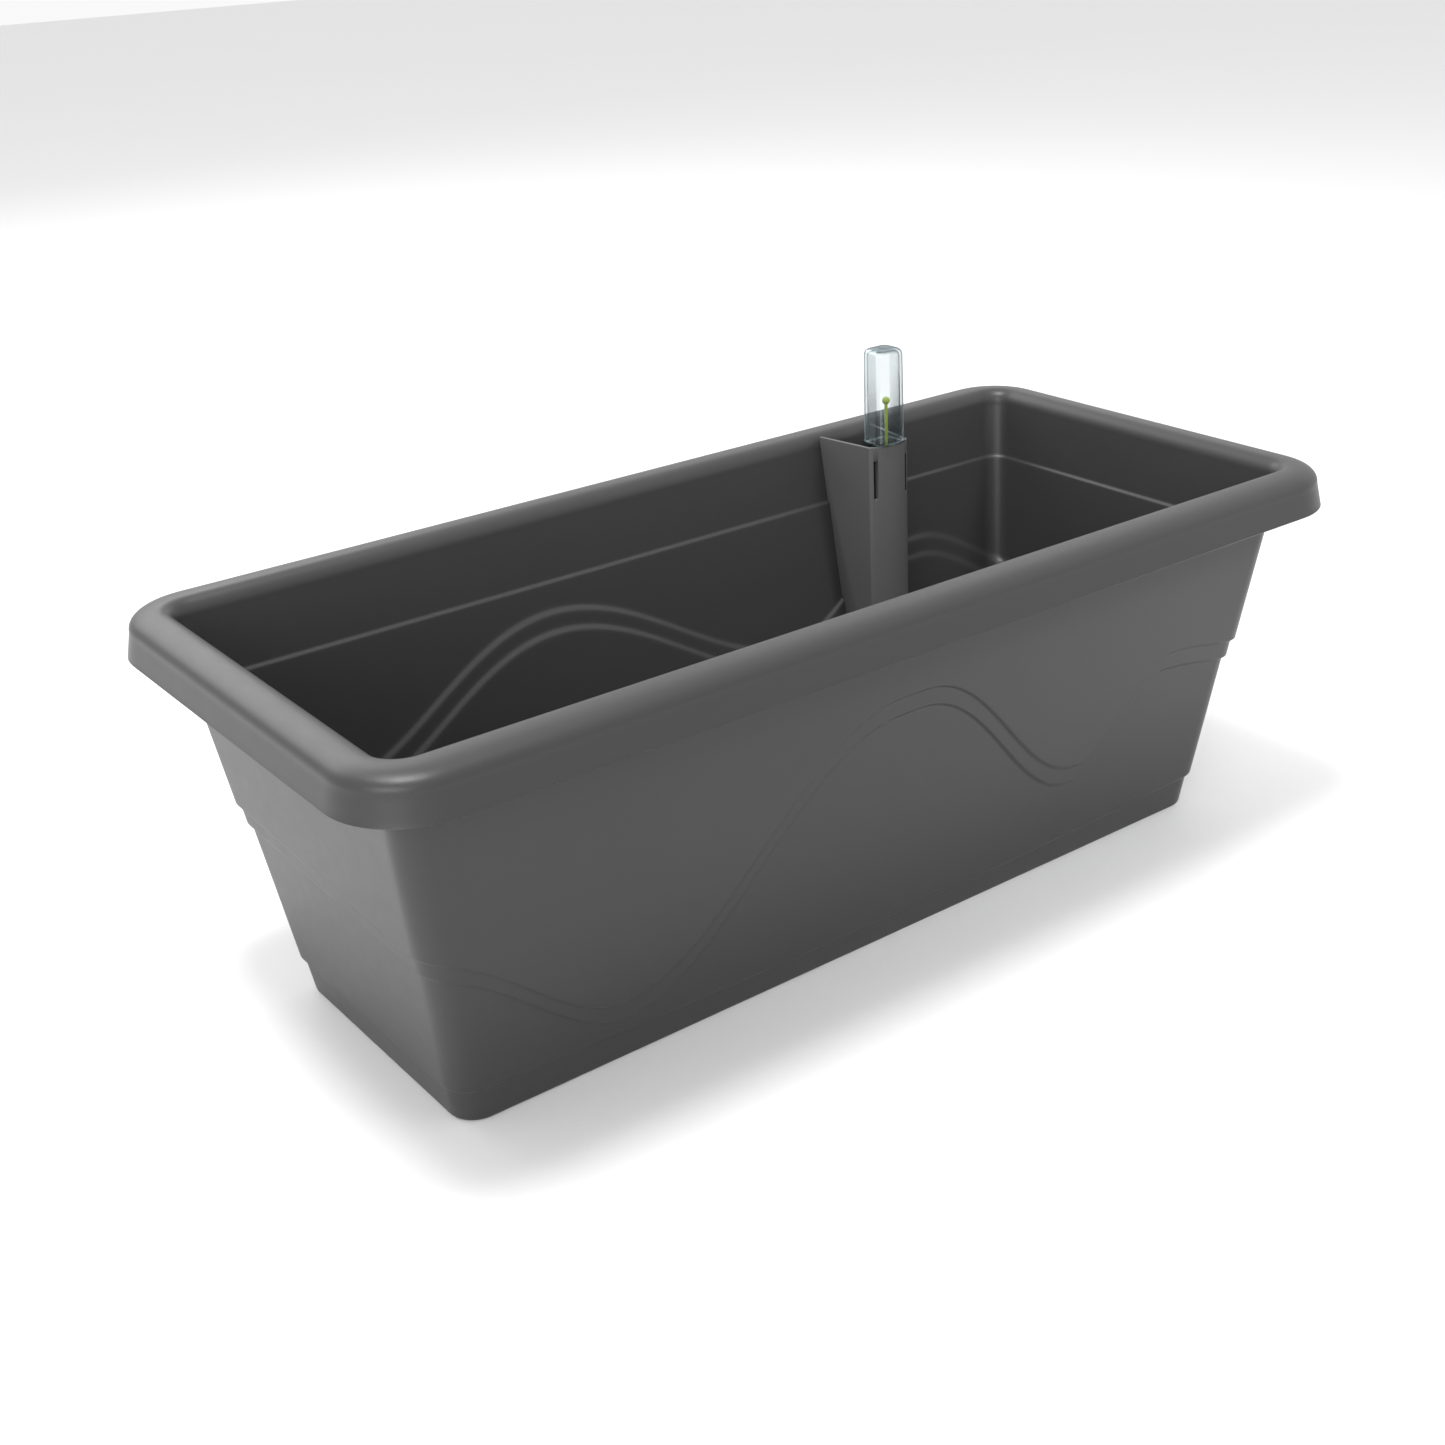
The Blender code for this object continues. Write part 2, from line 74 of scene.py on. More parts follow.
class Body(str, Enum):
    """Rigid bodies of the frame that pieces ride on."""

    BOX = "box"
    DIVIDER = "divider"
    BASKET_1 = "basket_1"
    BASKET_2 = "basket_2"
    BASKET_3 = "basket_3"
    SHAFT = "shaft"
    GAUGE = "gauge"
    FLOAT = "float"
    PLUG = "plug"


class Slot(str, Enum):
    """Material slots of the record."""

    ANTHRACITE = "anthracite_plastic"
    DIVIDER = "divider_plastic"
    CLEAR = "clear_plastic"
    INDICATOR = "indicator_plastic"
    FOAM = "float_foam"
    RUBBER = "seal_rubber"


# ---------------------------------------------------------------- shader and node helpers


class Wire:
    """One output socket, on which plain Python arithmetic adds Math nodes."""

    def __init__(self, tree: bpy.types.NodeTree, socket: bpy.types.NodeSocket) -> None:
        """Wraps a socket of the tree."""
        self.tree = tree
        self.socket = socket

    def math(self, operation: str, other: "Wire | float | None" = None, swap: bool = False) -> "Wire":
        """Adds one Math node.

        Args:
            operation: the node's operation, such as "ADD".
            other: the second value, if the operation takes one.
            swap: True puts this socket second.

        Returns:
            The node's output.
        """
        node = self.tree.nodes.new("ShaderNodeMath")
        node.operation = operation
        for index, value in enumerate((other, self) if swap else (self, other)):
            if isinstance(value, Wire):
                self.tree.links.new(value.socket, node.inputs[index])
            elif value is not None:
                node.inputs[index].default_value = value
        return Wire(self.tree, node.outputs[0])

    def __add__(self, other: "Wire | float") -> "Wire":
        """Sum."""
        return self.math("ADD", other)

    def __radd__(self, other: float) -> "Wire":
        """Sum with a number on the left."""
        return self.math("ADD", other, swap=True)

    def __sub__(self, other: "Wire | float") -> "Wire":
        """Difference."""
        return self.math("SUBTRACT", other)

    def __rsub__(self, other: float) -> "Wire":
        """Difference from a number on the left."""
        return self.math("SUBTRACT", other, swap=True)

    def __mul__(self, other: "Wire | float") -> "Wire":
        """Product."""
        return self.math("MULTIPLY", other)

    def __rmul__(self, other: float) -> "Wire":
        """Product with a number on the left."""
        return self.math("MULTIPLY", other, swap=True)

    def __truediv__(self, other: "Wire | float") -> "Wire":
        """Quotient."""
        return self.math("DIVIDE", other)

    def clamped(self) -> "Wire":
        """This value kept between 0 and 1."""
        return self.math("MINIMUM", 1.0).math("MAXIMUM", 0.0)


class NodeBench:
    """Adds nodes to one tree, with their settings first and their sockets after."""

    def __init__(self, tree: bpy.types.NodeTree) -> None:
        """Works on the given tree."""
        self.tree = tree

    def node(self, kind: str, settings: dict | None = None, inputs: dict | None = None) -> bpy.types.Node:
        """Adds one node.

        Args:
            kind: the node's type name.
            settings: attributes set before its sockets, such as an operation.
            inputs: socket names or numbers, each with a value or a link.

        Returns:
            The new node.
        """
        made = self.tree.nodes.new(kind)
        for name, value in (settings or {}).items():
            setattr(made, name, value)
        for key, value in (inputs or {}).items():
            socket = made.inputs[key]
            if isinstance(value, Wire):
                self.tree.links.new(value.socket, socket)
            elif isinstance(value, bpy.types.NodeSocket):
                self.tree.links.new(value, socket)
            else:
                socket.default_value = value
        return made

    def wire(self, node: bpy.types.Node, output: str | int = 0) -> Wire:
        """One output of a node, ready for arithmetic."""
        return Wire(self.tree, node.outputs[output])


class ShaderBench(NodeBench):
    """A new material's node tree, with what every finish here starts from."""

    def __init__(self, name: str) -> None:
        """Makes an empty material of that name."""
        self.material = bpy.data.materials.new(name)
        self.material.use_nodes = True
        super().__init__(self.material.node_tree)
        self.tree.nodes.clear()

    def place(self) -> bpy.types.NodeSocket:
        """The piece's own object coordinates, in metres."""
        return self.node("ShaderNodeTexCoord").outputs["Object"]

    def noise(self, scale: float, detail: float = 2.0, roughness: float = 0.5) -> Wire:
        """A noise pattern on object coordinates, from 0 to 1.

        Args:
            scale: features per metre.
            detail: octaves.
            roughness: weight of the finer octaves.

        Returns:
            The pattern's value.
        """
        made = self.node("ShaderNodeTexNoise", None,
                         {"Vector": self.place(), "Scale": scale, "Detail": detail, "Roughness": roughness})
        return self.wire(made, "Fac")

    def blend(self, first: Colour, second: Colour, factor: Wire) -> bpy.types.NodeSocket:
        """A colour between two, by a factor.

        Args:
            first: RGBA at factor 0.
            second: RGBA at factor 1.
            factor: the varying factor.

        Returns:
            The mixed colour.
        """
        made = self.node("ShaderNodeMix", {"data_type": "RGBA"}, {0: factor, 6: first, 7: second})
        return made.outputs[2]

    def bump(self, height: Wire, distance: float) -> bpy.types.NodeSocket:
        """A normal bent by a height pattern.

        Args:
            height: the pattern, from 0 to 1.
            distance: its depth in metres.

        Returns:
            The normal.
        """
        made = self.node("ShaderNodeBump", None, {"Height": height, "Distance": distance, "Strength": 1.0})
        return made.outputs["Normal"]

    def finish(self, **inputs: object) -> bpy.types.Material:
        """Adds the Principled shader and the output.

        Args:
            inputs: socket names with underscores for spaces, with their values or links.

        Returns:
            The material.
        """
        shader = self.node("ShaderNodeBsdfPrincipled", None,
                           {name.replace("_", " "): value for name, value in inputs.items()})
        self.node("ShaderNodeOutputMaterial", None, {"Surface": shader.outputs[0]})
        return self.material


# ---------------------------------------------------------------- finishes


def grey(level: float) -> Colour:
    """A neutral colour."""
    return (level, level, level, 1.0)


@dataclass(frozen=True)
class MouldedPlastic:
    """Satin moulded polypropylene: fine spark-eroded grain, soft flow mottling and faint rubbing."""

    name: str
    tone: float
    roughness: float
    flow_per_metre: float = 9.0
    rub_per_metre: float = 140.0
    rub: float = 0.06
    grain_per_metre: float = 2600.0
    grain_depth: float = 0.00006
    mottle: float = 0.05
    shine: float = 0.42

    def build(self) -> bpy.types.Material:
        """Makes the material."""
        bench = ShaderBench(self.name)
        flow = bench.noise(self.flow_per_metre, 3.0)
        speckle = bench.noise(self.grain_per_metre * 0.5, 1.0)
        shade = ((flow * 0.6 + speckle * 0.4 - 0.25) * 2.0).clamped()
        colour = bench.blend(grey(self.tone * (1 - self.mottle)), grey(self.tone * (1 + self.mottle)), shade)
        rough = bench.noise(self.rub_per_metre) * self.rub + (self.roughness - self.rub / 2)
        grain = bench.noise(self.grain_per_metre, 2.0, 0.6)
        return bench.finish(Base_Color=colour, Roughness=rough, IOR=1.49, Specular_IOR_Level=self.shine,
                            Normal=bench.bump(grain, self.grain_depth))


@dataclass(frozen=True)
class ClearPlastic:
    """Thin clear polystyrene: a faint blue-green body with grey gleaming outlines."""

    name: str = "clear_polystyrene"
    body_tint: Colour = (0.950, 0.962, 0.965, 1.0)
    gleam_tint: Colour = (0.26, 0.31, 0.33, 1.0)
    edge_start: float = 0.28
    edge_span: float = 0.42
    rim_gloss: float = 0.80
    face_gloss: float = 0.05
    haze: float = 0.03

    def build(self) -> bpy.types.Material:
        """Makes the material."""
        bench = ShaderBench(self.name)
        facing = bench.wire(bench.node("ShaderNodeLayerWeight", None, {"Blend": 0.5}), "Facing")
        edge = ((facing - self.edge_start) / self.edge_span).clamped()
        through = bench.node("ShaderNodeBsdfTransparent", None, {"Color": self.body_tint})
        haze = bench.noise(60.0) * self.haze + self.haze
        gloss = bench.node("ShaderNodeBsdfGlossy", None, {"Color": self.gleam_tint, "Roughness": haze})
        share = edge * self.rim_gloss + self.face_gloss
        mixed = bench.node("ShaderNodeMixShader", None,
                           {0: share, 1: through.outputs[0], 2: gloss.outputs[0]})
        bench.node("ShaderNodeOutputMaterial", None, {"Surface": mixed.outputs[0]})
        return bench.material


@dataclass(frozen=True)
class IndicatorPlastic:
    """Glossy yellow-green moulded plastic."""

    name: str = "indicator_yellow_green"
    light: Colour = (0.42, 0.52, 0.12, 1.0)
    deep: Colour = (0.26, 0.36, 0.05, 1.0)

    def build(self) -> bpy.types.Material:
        """Makes the material."""
        bench = ShaderBench(self.name)
        colour = bench.blend(self.deep, self.light, bench.noise(400.0))
        return bench.finish(Base_Color=colour, Roughness=bench.noise(900.0) * 0.1 + 0.22)


@dataclass(frozen=True)
class BeadFoam:
    """Off-white bead foam with pressed cells."""

    name: str = "bead_foam"
    bead: Colour = (0.86, 0.86, 0.83, 1.0)
    seam: Colour = (0.62, 0.62, 0.58, 1.0)
    beads_per_metre: float = 420.0

    def build(self) -> bpy.types.Material:
        """Makes the material."""
        bench = ShaderBench(self.name)
        cells = bench.node("ShaderNodeTexVoronoi", {"feature": "DISTANCE_TO_EDGE"},
                           {"Vector": bench.place(), "Scale": self.beads_per_metre})
        swell = (bench.wire(cells, "Distance") * 9.0).clamped()
        colour = bench.blend(self.seam, self.bead, swell)
        return bench.finish(Base_Color=colour, Roughness=0.8, Normal=bench.bump(swell, 0.0002))


@dataclass(frozen=True)
class SoftRubber:
    """Dull black rubber with a little bloom."""

    name: str = "seal_rubber"

    def build(self) -> bpy.types.Material:
        """Makes the material."""
        bench = ShaderBench(self.name)
        bloom = bench.noise(300.0)
        colour = bench.blend(grey(0.018), grey(0.035), bloom)
        return bench.finish(Base_Color=colour, Roughness=bloom * 0.15 + 0.6,
                            Normal=bench.bump(bench.noise(3000.0), 0.00003))


# ---------------------------------------------------------------- mesh helpers


def piece_from_mesh(name: str, mesh_data: bmesh.types.BMesh, material: bpy.types.Material,
                    smooth_angle: float = SMOOTH_ANGLE) -> bpy.types.Object:
    """Turns a bmesh into a piece at the origin, shaded smooth.

    Args:
        name: the piece's name.
        mesh_data: its shape, which is used up.
        material: its finish.
        smooth_angle: edges sharper than this stay sharp, in degrees.

    Returns:
        The new object.
    """
    mesh_data.normal_update()
    bmesh.ops.recalc_face_normals(mesh_data, faces=mesh_data.faces)
    mesh = bpy.data.meshes.new(name)
    mesh_data.to_mesh(mesh)
    mesh_data.free()
    mesh.materials.append(material)
    mesh.shade_smooth()
    mesh.set_sharp_from_angle(angle=math.radians(smooth_angle))
    made = bpy.data.objects.new(name, mesh)
    bpy.context.scene.collection.objects.link(made)
    return made


def loft(rings: Sequence[Ring]) -> bmesh.types.BMesh:
    """A body through rings of equal length.

    Args:
        rings: the rings, in order; both ends are closed.

    Returns:
        The mesh.
    """
    made = bmesh.new()
    rows = [[made.verts.new(point) for point in ring] for ring in rings]
    for lower, upper in zip(rows, rows[1:]):
        for i, vert in enumerate(lower):
            j = (i + 1) % len(lower)
            made.faces.new((vert, lower[j], upper[j], upper[i]))
    made.faces.new(rows[0][::-1])
    made.faces.new(rows[-1])
    return made


def smooth(t: float) -> float:
    """Smoothstep between 0 and 1."""
    t = min(max(t, 0.0), 1.0)
    return t * t * (3 - 2 * t)


def quarter(steps: int) -> list[tuple[float, float]]:
    """Sine and cosine at even steps from 0 to 90 degrees, both ends included."""
    turns = [math.pi / 2 * i / steps for i in range(steps + 1)]
    return [(math.sin(turn), math.cos(turn)) for turn in turns]


def bevel(obj: bpy.types.Object, width: float, segments: int, angle: float) -> None:
    """Adds a Bevel modifier that rounds a piece's sharp edges.

    Args:
        obj: the piece.
        width: the rounding's width in metres.
        segments: steps across it.
        angle: edges sharper than this are rounded, in degrees.
    """
    modifier = obj.modifiers.new("rounded_edges", "BEVEL")
    modifier.width = width
    modifier.segments = segments
    modifier.limit_method = "ANGLE"
    modifier.angle_limit = math.radians(angle)
    modifier.harden_normals = False


def apply_modifiers(obj: bpy.types.Object, smooth_angle: float = SMOOTH_ANGLE) -> None:
    """Replaces a piece's mesh with its evaluated one and takes its modifiers off.

    Args:
        obj: the piece.
        smooth_angle: edges sharper than this stay sharp, in degrees.
    """
    bpy.context.view_layer.update()
    graph = bpy.context.evaluated_depsgraph_get()
    mesh = bpy.data.meshes.new_from_object(obj.evaluated_get(graph))
    obj.modifiers.clear()
    obj.data = mesh
    mesh.name = obj.name
    mesh.shade_smooth()
    mesh.set_sharp_from_angle(angle=math.radians(smooth_angle))


def cut(obj: bpy.types.Object, cutter: bmesh.types.BMesh, operation: str = "DIFFERENCE") -> None:
    """Applies one exact Boolean to a piece and removes the cutter.

    Args:
        obj: the piece.
        cutter: the other body, which is used up.
        operation: "DIFFERENCE" or "UNION".
    """
    cutter.normal_update()
    bmesh.ops.recalc_face_normals(cutter, faces=cutter.faces)
    mesh = bpy.data.meshes.new("cutter")
    cutter.to_mesh(mesh)
    cutter.free()
    other = bpy.data.objects.new("cutter", mesh)
    bpy.context.scene.collection.objects.link(other)
    modifier = obj.modifiers.new("cut", "BOOLEAN")
    modifier.operation = operation
    modifier.solver = "EXACT"
    modifier.object = other
    apply_modifiers(obj)
    bpy.data.objects.remove(other, do_unlink=True)


def block(low: Sequence[float], high: Sequence[float]) -> bmesh.types.BMesh:
    """A box between two corners.

    Args:
        low: its lowest corner.
        high: its highest corner.

    Returns:
        The mesh.
    """
    made = bmesh.new()
    size = Vector(high) - Vector(low)
    place = Matrix.Translation((Vector(low) + Vector(high)) / 2) @ Matrix.Diagonal((*size, 1))
    bmesh.ops.create_cube(made, size=1.0, matrix=place)
    return made


def upright(radius: float, low: float, high: float, place: tuple[float, float],
            segments: int) -> bmesh.types.BMesh:
    """A closed cylinder along Z.

    Args:
        radius: its radius.
        low: height of its lower end.
        high: height of its upper end.
        place: its axis in plan.
        segments: steps round it.

    Returns:
        The mesh.
    """
    made = bmesh.new()
    bmesh.ops.create_cone(made, cap_ends=True, segments=segments, radius1=radius, radius2=radius,
                          depth=high - low, matrix=Matrix.Translation((*place, (low + high) / 2)))
    return made


def turned(profile: Profile, segments: int, place: Matrix) -> bmesh.types.BMesh:
    """A turned body whose profile of (radius, height) starts and ends on the axis.

    Args:
        profile: the outline, from one end of the axis to the other.
        segments: steps round the axis.
        place: where the body goes; its axis is that frame's Z.

    Returns:
        The mesh.
    """
    made = bmesh.new()
    ends = [made.verts.new((0.0, 0.0, profile[0][1])), made.verts.new((0.0, 0.0, profile[-1][1]))]
    rows = []
    for radius, height in profile[1:-1]:
        rows.append([made.verts.new((radius * math.cos(turn), radius * math.sin(turn), height))
                     for turn in (2 * math.pi * i / segments for i in range(segments))])
    for lower, upper in zip(rows, rows[1:]):
        for i, vert in enumerate(lower):
            j = (i + 1) % segments
            made.faces.new((vert, lower[j], upper[j], upper[i]))
    for i in range(segments):
        j = (i + 1) % segments
        made.faces.new((ends[0], rows[0][j], rows[0][i]))
        made.faces.new((ends[1], rows[-1][i], rows[-1][j]))
    made.transform(place)
    return made


@dataclass(frozen=True)
class PlanColumns:
    """Unit outline of a rounded rectangle, as straight-part factors and outward normals."""

    long_segments: int
    short_segments: int
    corner_segments: int

    def items(self) -> list[tuple[float, float, float, float]]:
        """The outline's (fx, fy, nx, ny), counter-clockwise from the front left."""
        found = []
        sides = [((-1, -1), (1, -1), self.long_segments, -90), ((1, -1), (1, 1), self.short_segments, 0),
                 ((1, 1), (-1, 1), self.long_segments, 90), ((-1, 1), (-1, -1), self.short_segments, 180)]
        for start, end, segments, angle in sides:
            normal = (round(math.cos(math.radians(angle))), round(math.sin(math.radians(angle))))
            for i in range(segments + 1):
                t = i / segments
                found.append((start[0] + (end[0] - start[0]) * t,
                              start[1] + (end[1] - start[1]) * t, *normal))
            for i in range(1, self.corner_segments):
                turn = math.radians(angle + 90 * i / self.corner_segments)
                found.append((*end, math.cos(turn), math.sin(turn)))
        return found

    def ring(self, centre: tuple[float, float], half: tuple[float, float], corner: float,
             inset: float, z: float) -> Ring:
        """One flat ring of a rounded rectangle.

        Args:
            centre: its middle in plan.
            half: its half sizes before the inset.
            corner: its corner radius before the inset.
            inset: how far the ring is moved in.
            z: its height.

        Returns:
            The ring's points.
        """
        return [(centre[0] + fx * (half[0] - corner) + (corner - inset) * nx,
                 centre[1] + fy * (half[1] - corner) + (corner - inset) * ny, z)
                for fx, fy, nx, ny in self.items()]


class RepeatOnPoints:
    """Geometry Nodes group that puts one closed cylinder on every point of a mesh."""

    def __init__(self, name: str, sides: int, radius: float, length: float,
                 finish: bpy.types.Material) -> None:
        """Builds the group with its named inputs.

        Args:
            name: the group's name.
            sides: steps round each cylinder.
            radius: the cylinders' radius.
            length: their length along Z.
            finish: their material.
        """
        self.name = name
        self.values = {"Radius": radius, "Length": length, "Sides": sides, "Finish": finish}
        self.group = bpy.data.node_groups.new(name, "GeometryNodeTree")
        face = self.group.interface
        for title, kind in (("Geometry", "Geometry"), ("Radius", "Float"), ("Length", "Float"),
                            ("Sides", "Int"), ("Finish", "Material")):
            face.new_socket(title, in_out="INPUT", socket_type=f"NodeSocket{kind}")
        face.new_socket("Geometry", in_out="OUTPUT", socket_type="NodeSocketGeometry")
        bench = NodeBench(self.group)
        start = bench.node("NodeGroupInput").outputs
        body = bench.node("GeometryNodeMeshCylinder", {"fill_type": "NGON"},
                          {"Vertices": start["Sides"], "Radius": start["Radius"], "Depth": start["Length"]})
        placed = bench.node("GeometryNodeInstanceOnPoints", None,
                            {"Points": start["Geometry"], "Instance": body.outputs["Mesh"]})
        real = bench.node("GeometryNodeRealizeInstances", None, {"Geometry": placed.outputs["Instances"]})
        dressed = bench.node("GeometryNodeSetMaterial", None,
                             {"Geometry": real.outputs["Geometry"], "Material": start["Finish"]})
        bench.node("NodeGroupOutput", None, {"Geometry": dressed.outputs["Geometry"]})

    def build(self, spots: Sequence[Point]) -> bmesh.types.BMesh:
        """Evaluates the group on the points.

        Args:
            spots: where the cylinders stand.

        Returns:
            The cylinders as one mesh.
        """
        mesh = bpy.data.meshes.new(self.name)
        mesh.from_pydata(spots, [], [])
        carrier = bpy.data.objects.new(self.name, mesh)
        bpy.context.scene.collection.objects.link(carrier)
        modifier = carrier.modifiers.new(self.name, "NODES")
        modifier.node_group = self.group
        for item in self.group.interface.items_tree:
            if item.in_out == "INPUT" and item.name in self.values:
                modifier[item.identifier] = self.values[item.name]
        bpy.context.view_layer.update()
        graph = bpy.context.evaluated_depsgraph_get()
        result = bpy.data.meshes.new_from_object(carrier.evaluated_get(graph))
        carrier.modifiers.clear()
        made = bmesh.new()
        made.from_mesh(result)
        bpy.data.objects.remove(carrier, do_unlink=True)
        return made


def show(obj: bpy.types.Object, body: Body, slot: Slot, *nodes: str) -> None:
    """Attaches a finished piece to its body and hides the CAD nodes that it stands for.

    Args:
        obj: the piece.
        body: what it rides on.
        slot: its material slot; not used.
        nodes: the CAD nodes that it stands for.
    """
    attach(obj, body.value)
    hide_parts(*nodes)
    LOG.info("%s: %d faces, rides on %s", obj.name, len(obj.data.polygons), body.value)


# ---------------------------------------------------------------- planter box


@dataclass
class WaveRelief:
    """The relief line round the walls: crests and troughs (x, z), eased with cosines."""

    front: Profile = ((-0.225, 0.085), (-0.138, 0.031), (0.000, 0.1255), (0.012, 0.1255),
                      (0.115, 0.054), (0.163, 0.096), (0.225, 0.088))
    back: Profile = ((-0.225, 0.090), (-0.182, 0.078), (-0.056, 0.1276), (0.076, 0.076),
                     (0.150, 0.1105), (0.160, 0.1105), (0.232, 0.084))
    band: float = 0.0090
    half: float = 0.207

    @staticmethod
    def eased(points: Profile, x: float) -> float:
        """Height on a line that eases from each extreme to the next.

        Args:
            points: the extremes, in order of x.
            x: the place along the wall.

        Returns:
            The height.
        """
        for (x0, z0), (x1, z1) in zip(points, points[1:]):
            if x <= x1:
                t = min(max((x - x0) / (x1 - x0), 0.0), 1.0)
                return z0 + (z1 - z0) * (1 - math.cos(math.pi * t)) / 2
        return points[-1][1]

    def level(self, shift: float) -> Level:
        """The line all round the box, raised by shift."""
        def height(x: float, side: float) -> float:
            """Height of the line at x, from the front (-1) to the back (1)."""
            front, back = self.eased(self.front, x), self.eased(self.back, x)
            return front + (back - front) * (side + 1) / 2 + shift
        return height


@dataclass
class PlanterBox:
    """The moulded box: tapered walls with relief, inner ledge and rolled, hollow-backed lip."""

    low: Vector
    high: Vector
    finish: bpy.types.Material
    relief: WaveRelief = field(default_factory=WaveRelief)
    lip_bottom: float = 0.157
    lip_radius: float = 0.033
    lip_reach: float = 0.021
    lip_fillet: float = 0.0010
    lip_flat: float = 0.86
    hollow_start: float = 0.0006
    shoulder: tuple[float, float] = (0.89, 0.1680)
    apron_steps: tuple[float, ...] = (0.35, 0.65, 0.85)
    crown: float = 0.3
    crown_power: float = 0.85
    crown_steps: int = 18
    base_half: tuple[float, float] = (0.2061, 0.0692)
    draft: tuple[float, float] = (0.129, 0.1424)
    wall: float = 0.0025
    corner: float = 0.012
    base_round: float = 0.0018
    step: float = 0.0013
    outer_rise: float = 0.0017
    inner_rise: float = 0.0034
    ledge_z: float = 0.141
    ledge_depth: float = 0.0009
    ledge_margin: float = 0.0015
    rim_start: float = 0.168
    rim_margin: float = 0.001
    foot_middle: float = 0.0125
    foot_rise: float = 0.004
    step_rows: int = 6
    plug_hole: tuple[float, float] = (0.0053, 0.012)
    columns: PlanColumns = PlanColumns(230, 60, 14)

    def __post_init__(self) -> None:
        """Reads the outline's sizes from the frame."""
        self.length = self.high.x - self.low.x
        self.width = self.high.y - self.low.y
        self.height = self.high.z - self.low.z
        self.plan = self.columns.items()

    def half_at(self, z: float, zone: float, inset: float) -> tuple[float, float]:
        """Half sizes of a wall face.

        Args:
            z: the height.
            zone: relief steps passed on the way up.
            inset: how far the face lies inside the outer one.

        Returns:
            Half the length and half the width.
        """
        hx, hy = (base + draft * z + self.step * zone - inset
                  for base, draft in zip(self.base_half, self.draft))
        return hx, hy

    def ring(self, half: Callable[[float], tuple[float, float]], radius: float, level: Level | float) -> Ring:
        """One ring round the box.

        Args:
            half: half sizes at a height.
            radius: corner radius.
            level: the ring's height, or its height at a place in plan.

        Returns:
            The ring's points.
        """
        points = []
        for fx, fy, nx, ny in self.plan:
            z = level if isinstance(level, float) else level(fx * self.relief.half + nx * self.corner, fy)
            hx, hy = half(z)
            points.append((fx * (hx - radius) + radius * nx, fy * (hy - radius) + radius * ny, z))
        return points

    def wall_ring(self, zone: float, inset: float, level: Level | float) -> Ring:
        """A ring on one wall face.

        Args:
            zone: relief steps passed on the way up.
            inset: how far the face lies inside the outer one.
            level: the ring's height, or its height at a place in plan.

        Returns:
            The ring's points.
        """
        return self.ring(lambda z: self.half_at(z, zone, inset), self.corner - inset, level)

    def foot_level(self, shift: float) -> Level:
        """The low step round the foot, which dips a little in the middle of the long walls."""
        def height(x: float, _: float) -> float:
            """Height of the step at x."""
            return self.foot_middle + self.foot_rise * min(abs(x) / self.base_half[0], 1.0) ** 2 + shift
        return height

    def step_rings(self, level: Callable[[float], Level], zone: int, inset: float) -> list[Ring]:
        """Rings over one relief step, with a supporting ring on each side.

        Args:
            level: the step's line, raised by a shift.
            zone: steps passed below this one.
            inset: 0 on the outer face, and the wall's thickness on the inner one.

        Returns:
            The rings, from the bottom up.
        """
        rise = self.inner_rise if inset else self.outer_rise
        rings = [self.wall_ring(zone, inset, level(-rise))]
        for i in range(self.step_rows + 1):
            t = i / self.step_rows
            rings.append(self.wall_ring(zone + smooth(t), inset, level(rise * (t - 0.5))))
        rings.append(self.wall_ring(zone + 1, inset, level(rise)))
        return rings

    def wall_rings(self, inset: float) -> list[Ring]:
        """Rings of one wall face from the foot up to above the highest relief line."""
        lower = self.step_rings(lambda shift: self.relief.level(shift - self.relief.band), 1, inset)
        upper = self.step_rings(self.relief.level, 2, inset)
        return self.step_rings(self.foot_level, 0, inset) + lower + upper

    def rim_ring(self, out: float, z: float) -> Ring:
        """A ring on the rim.

        Args:
            out: 0 at the top of the inner wall, 1 on the outside of the lip.
            z: the ring's height.

        Returns:
            The ring's points.
        """
        inner = self.half_at(self.rim_start, 3, self.wall)
        hx, hy = (i + (o - i) * out for i, o in zip(inner, (self.length / 2, self.width / 2)))
        inner_corner = self.corner - self.wall
        return self.ring(lambda _: (hx, hy), inner_corner + (self.lip_radius - inner_corner) * out, z)

    def crown_rings(self, steps: int, shrink: float, start: float) -> list[Ring]:
        """Rings up the lip's apron, over its shoulder and on to the crown.

        Args:
            steps: how many steps the shoulder's turn takes.
            shrink: distance inside the lip's outer face.
            start: height above the lip's lower edge where the rings begin.

        Returns:
            The rings, from the bottom up.
        """
        thin = shrink / self.lip_reach
        side, turn_z = self.shoulder
        rise = turn_z - self.lip_bottom
        rings = []
        for t in (start / rise, *self.apron_steps):
            rings.append(self.rim_ring(1 - thin - (1 - side) * t, self.lip_bottom + rise * t))
        for sine, cosine in reversed(quarter(steps)):
            out = self.crown + (side - self.crown - thin) * sine ** self.crown_power
            z = turn_z + (self.height - turn_z - shrink) * cosine ** self.crown_power
            rings.append(self.rim_ring(out, z))
        return rings

    def outer_rings(self) -> list[Ring]:
        """Rings from the base up the outside and under the lip."""
        rings = [self.wall_ring(0, self.base_round * (1 - sine), self.base_round * (1 - cosine))
                 for sine, cosine in quarter(4)]
        rings += self.wall_rings(0.0)
        for below in (4 * self.rim_margin, self.rim_margin):
            rings.append(self.wall_ring(3, 0.0, self.rim_start - below))
        return rings + self.crown_rings(8, self.wall, self.hollow_start)[::-1]

    def lip_edge_rings(self) -> list[Ring]:
        """The narrow flat under edge of the lip, with softened corners."""
        rings = [self.rim_ring(1 - self.wall / self.lip_reach * self.lip_flat, self.lip_bottom)]
        for sine, cosine in quarter(4)[:-1]:
            pull = self.lip_fillet * (1 - sine) / self.lip_reach
            rings.append(self.rim_ring(1 - pull, self.lip_bottom + self.lip_fillet * (1 - cosine)))
        return rings

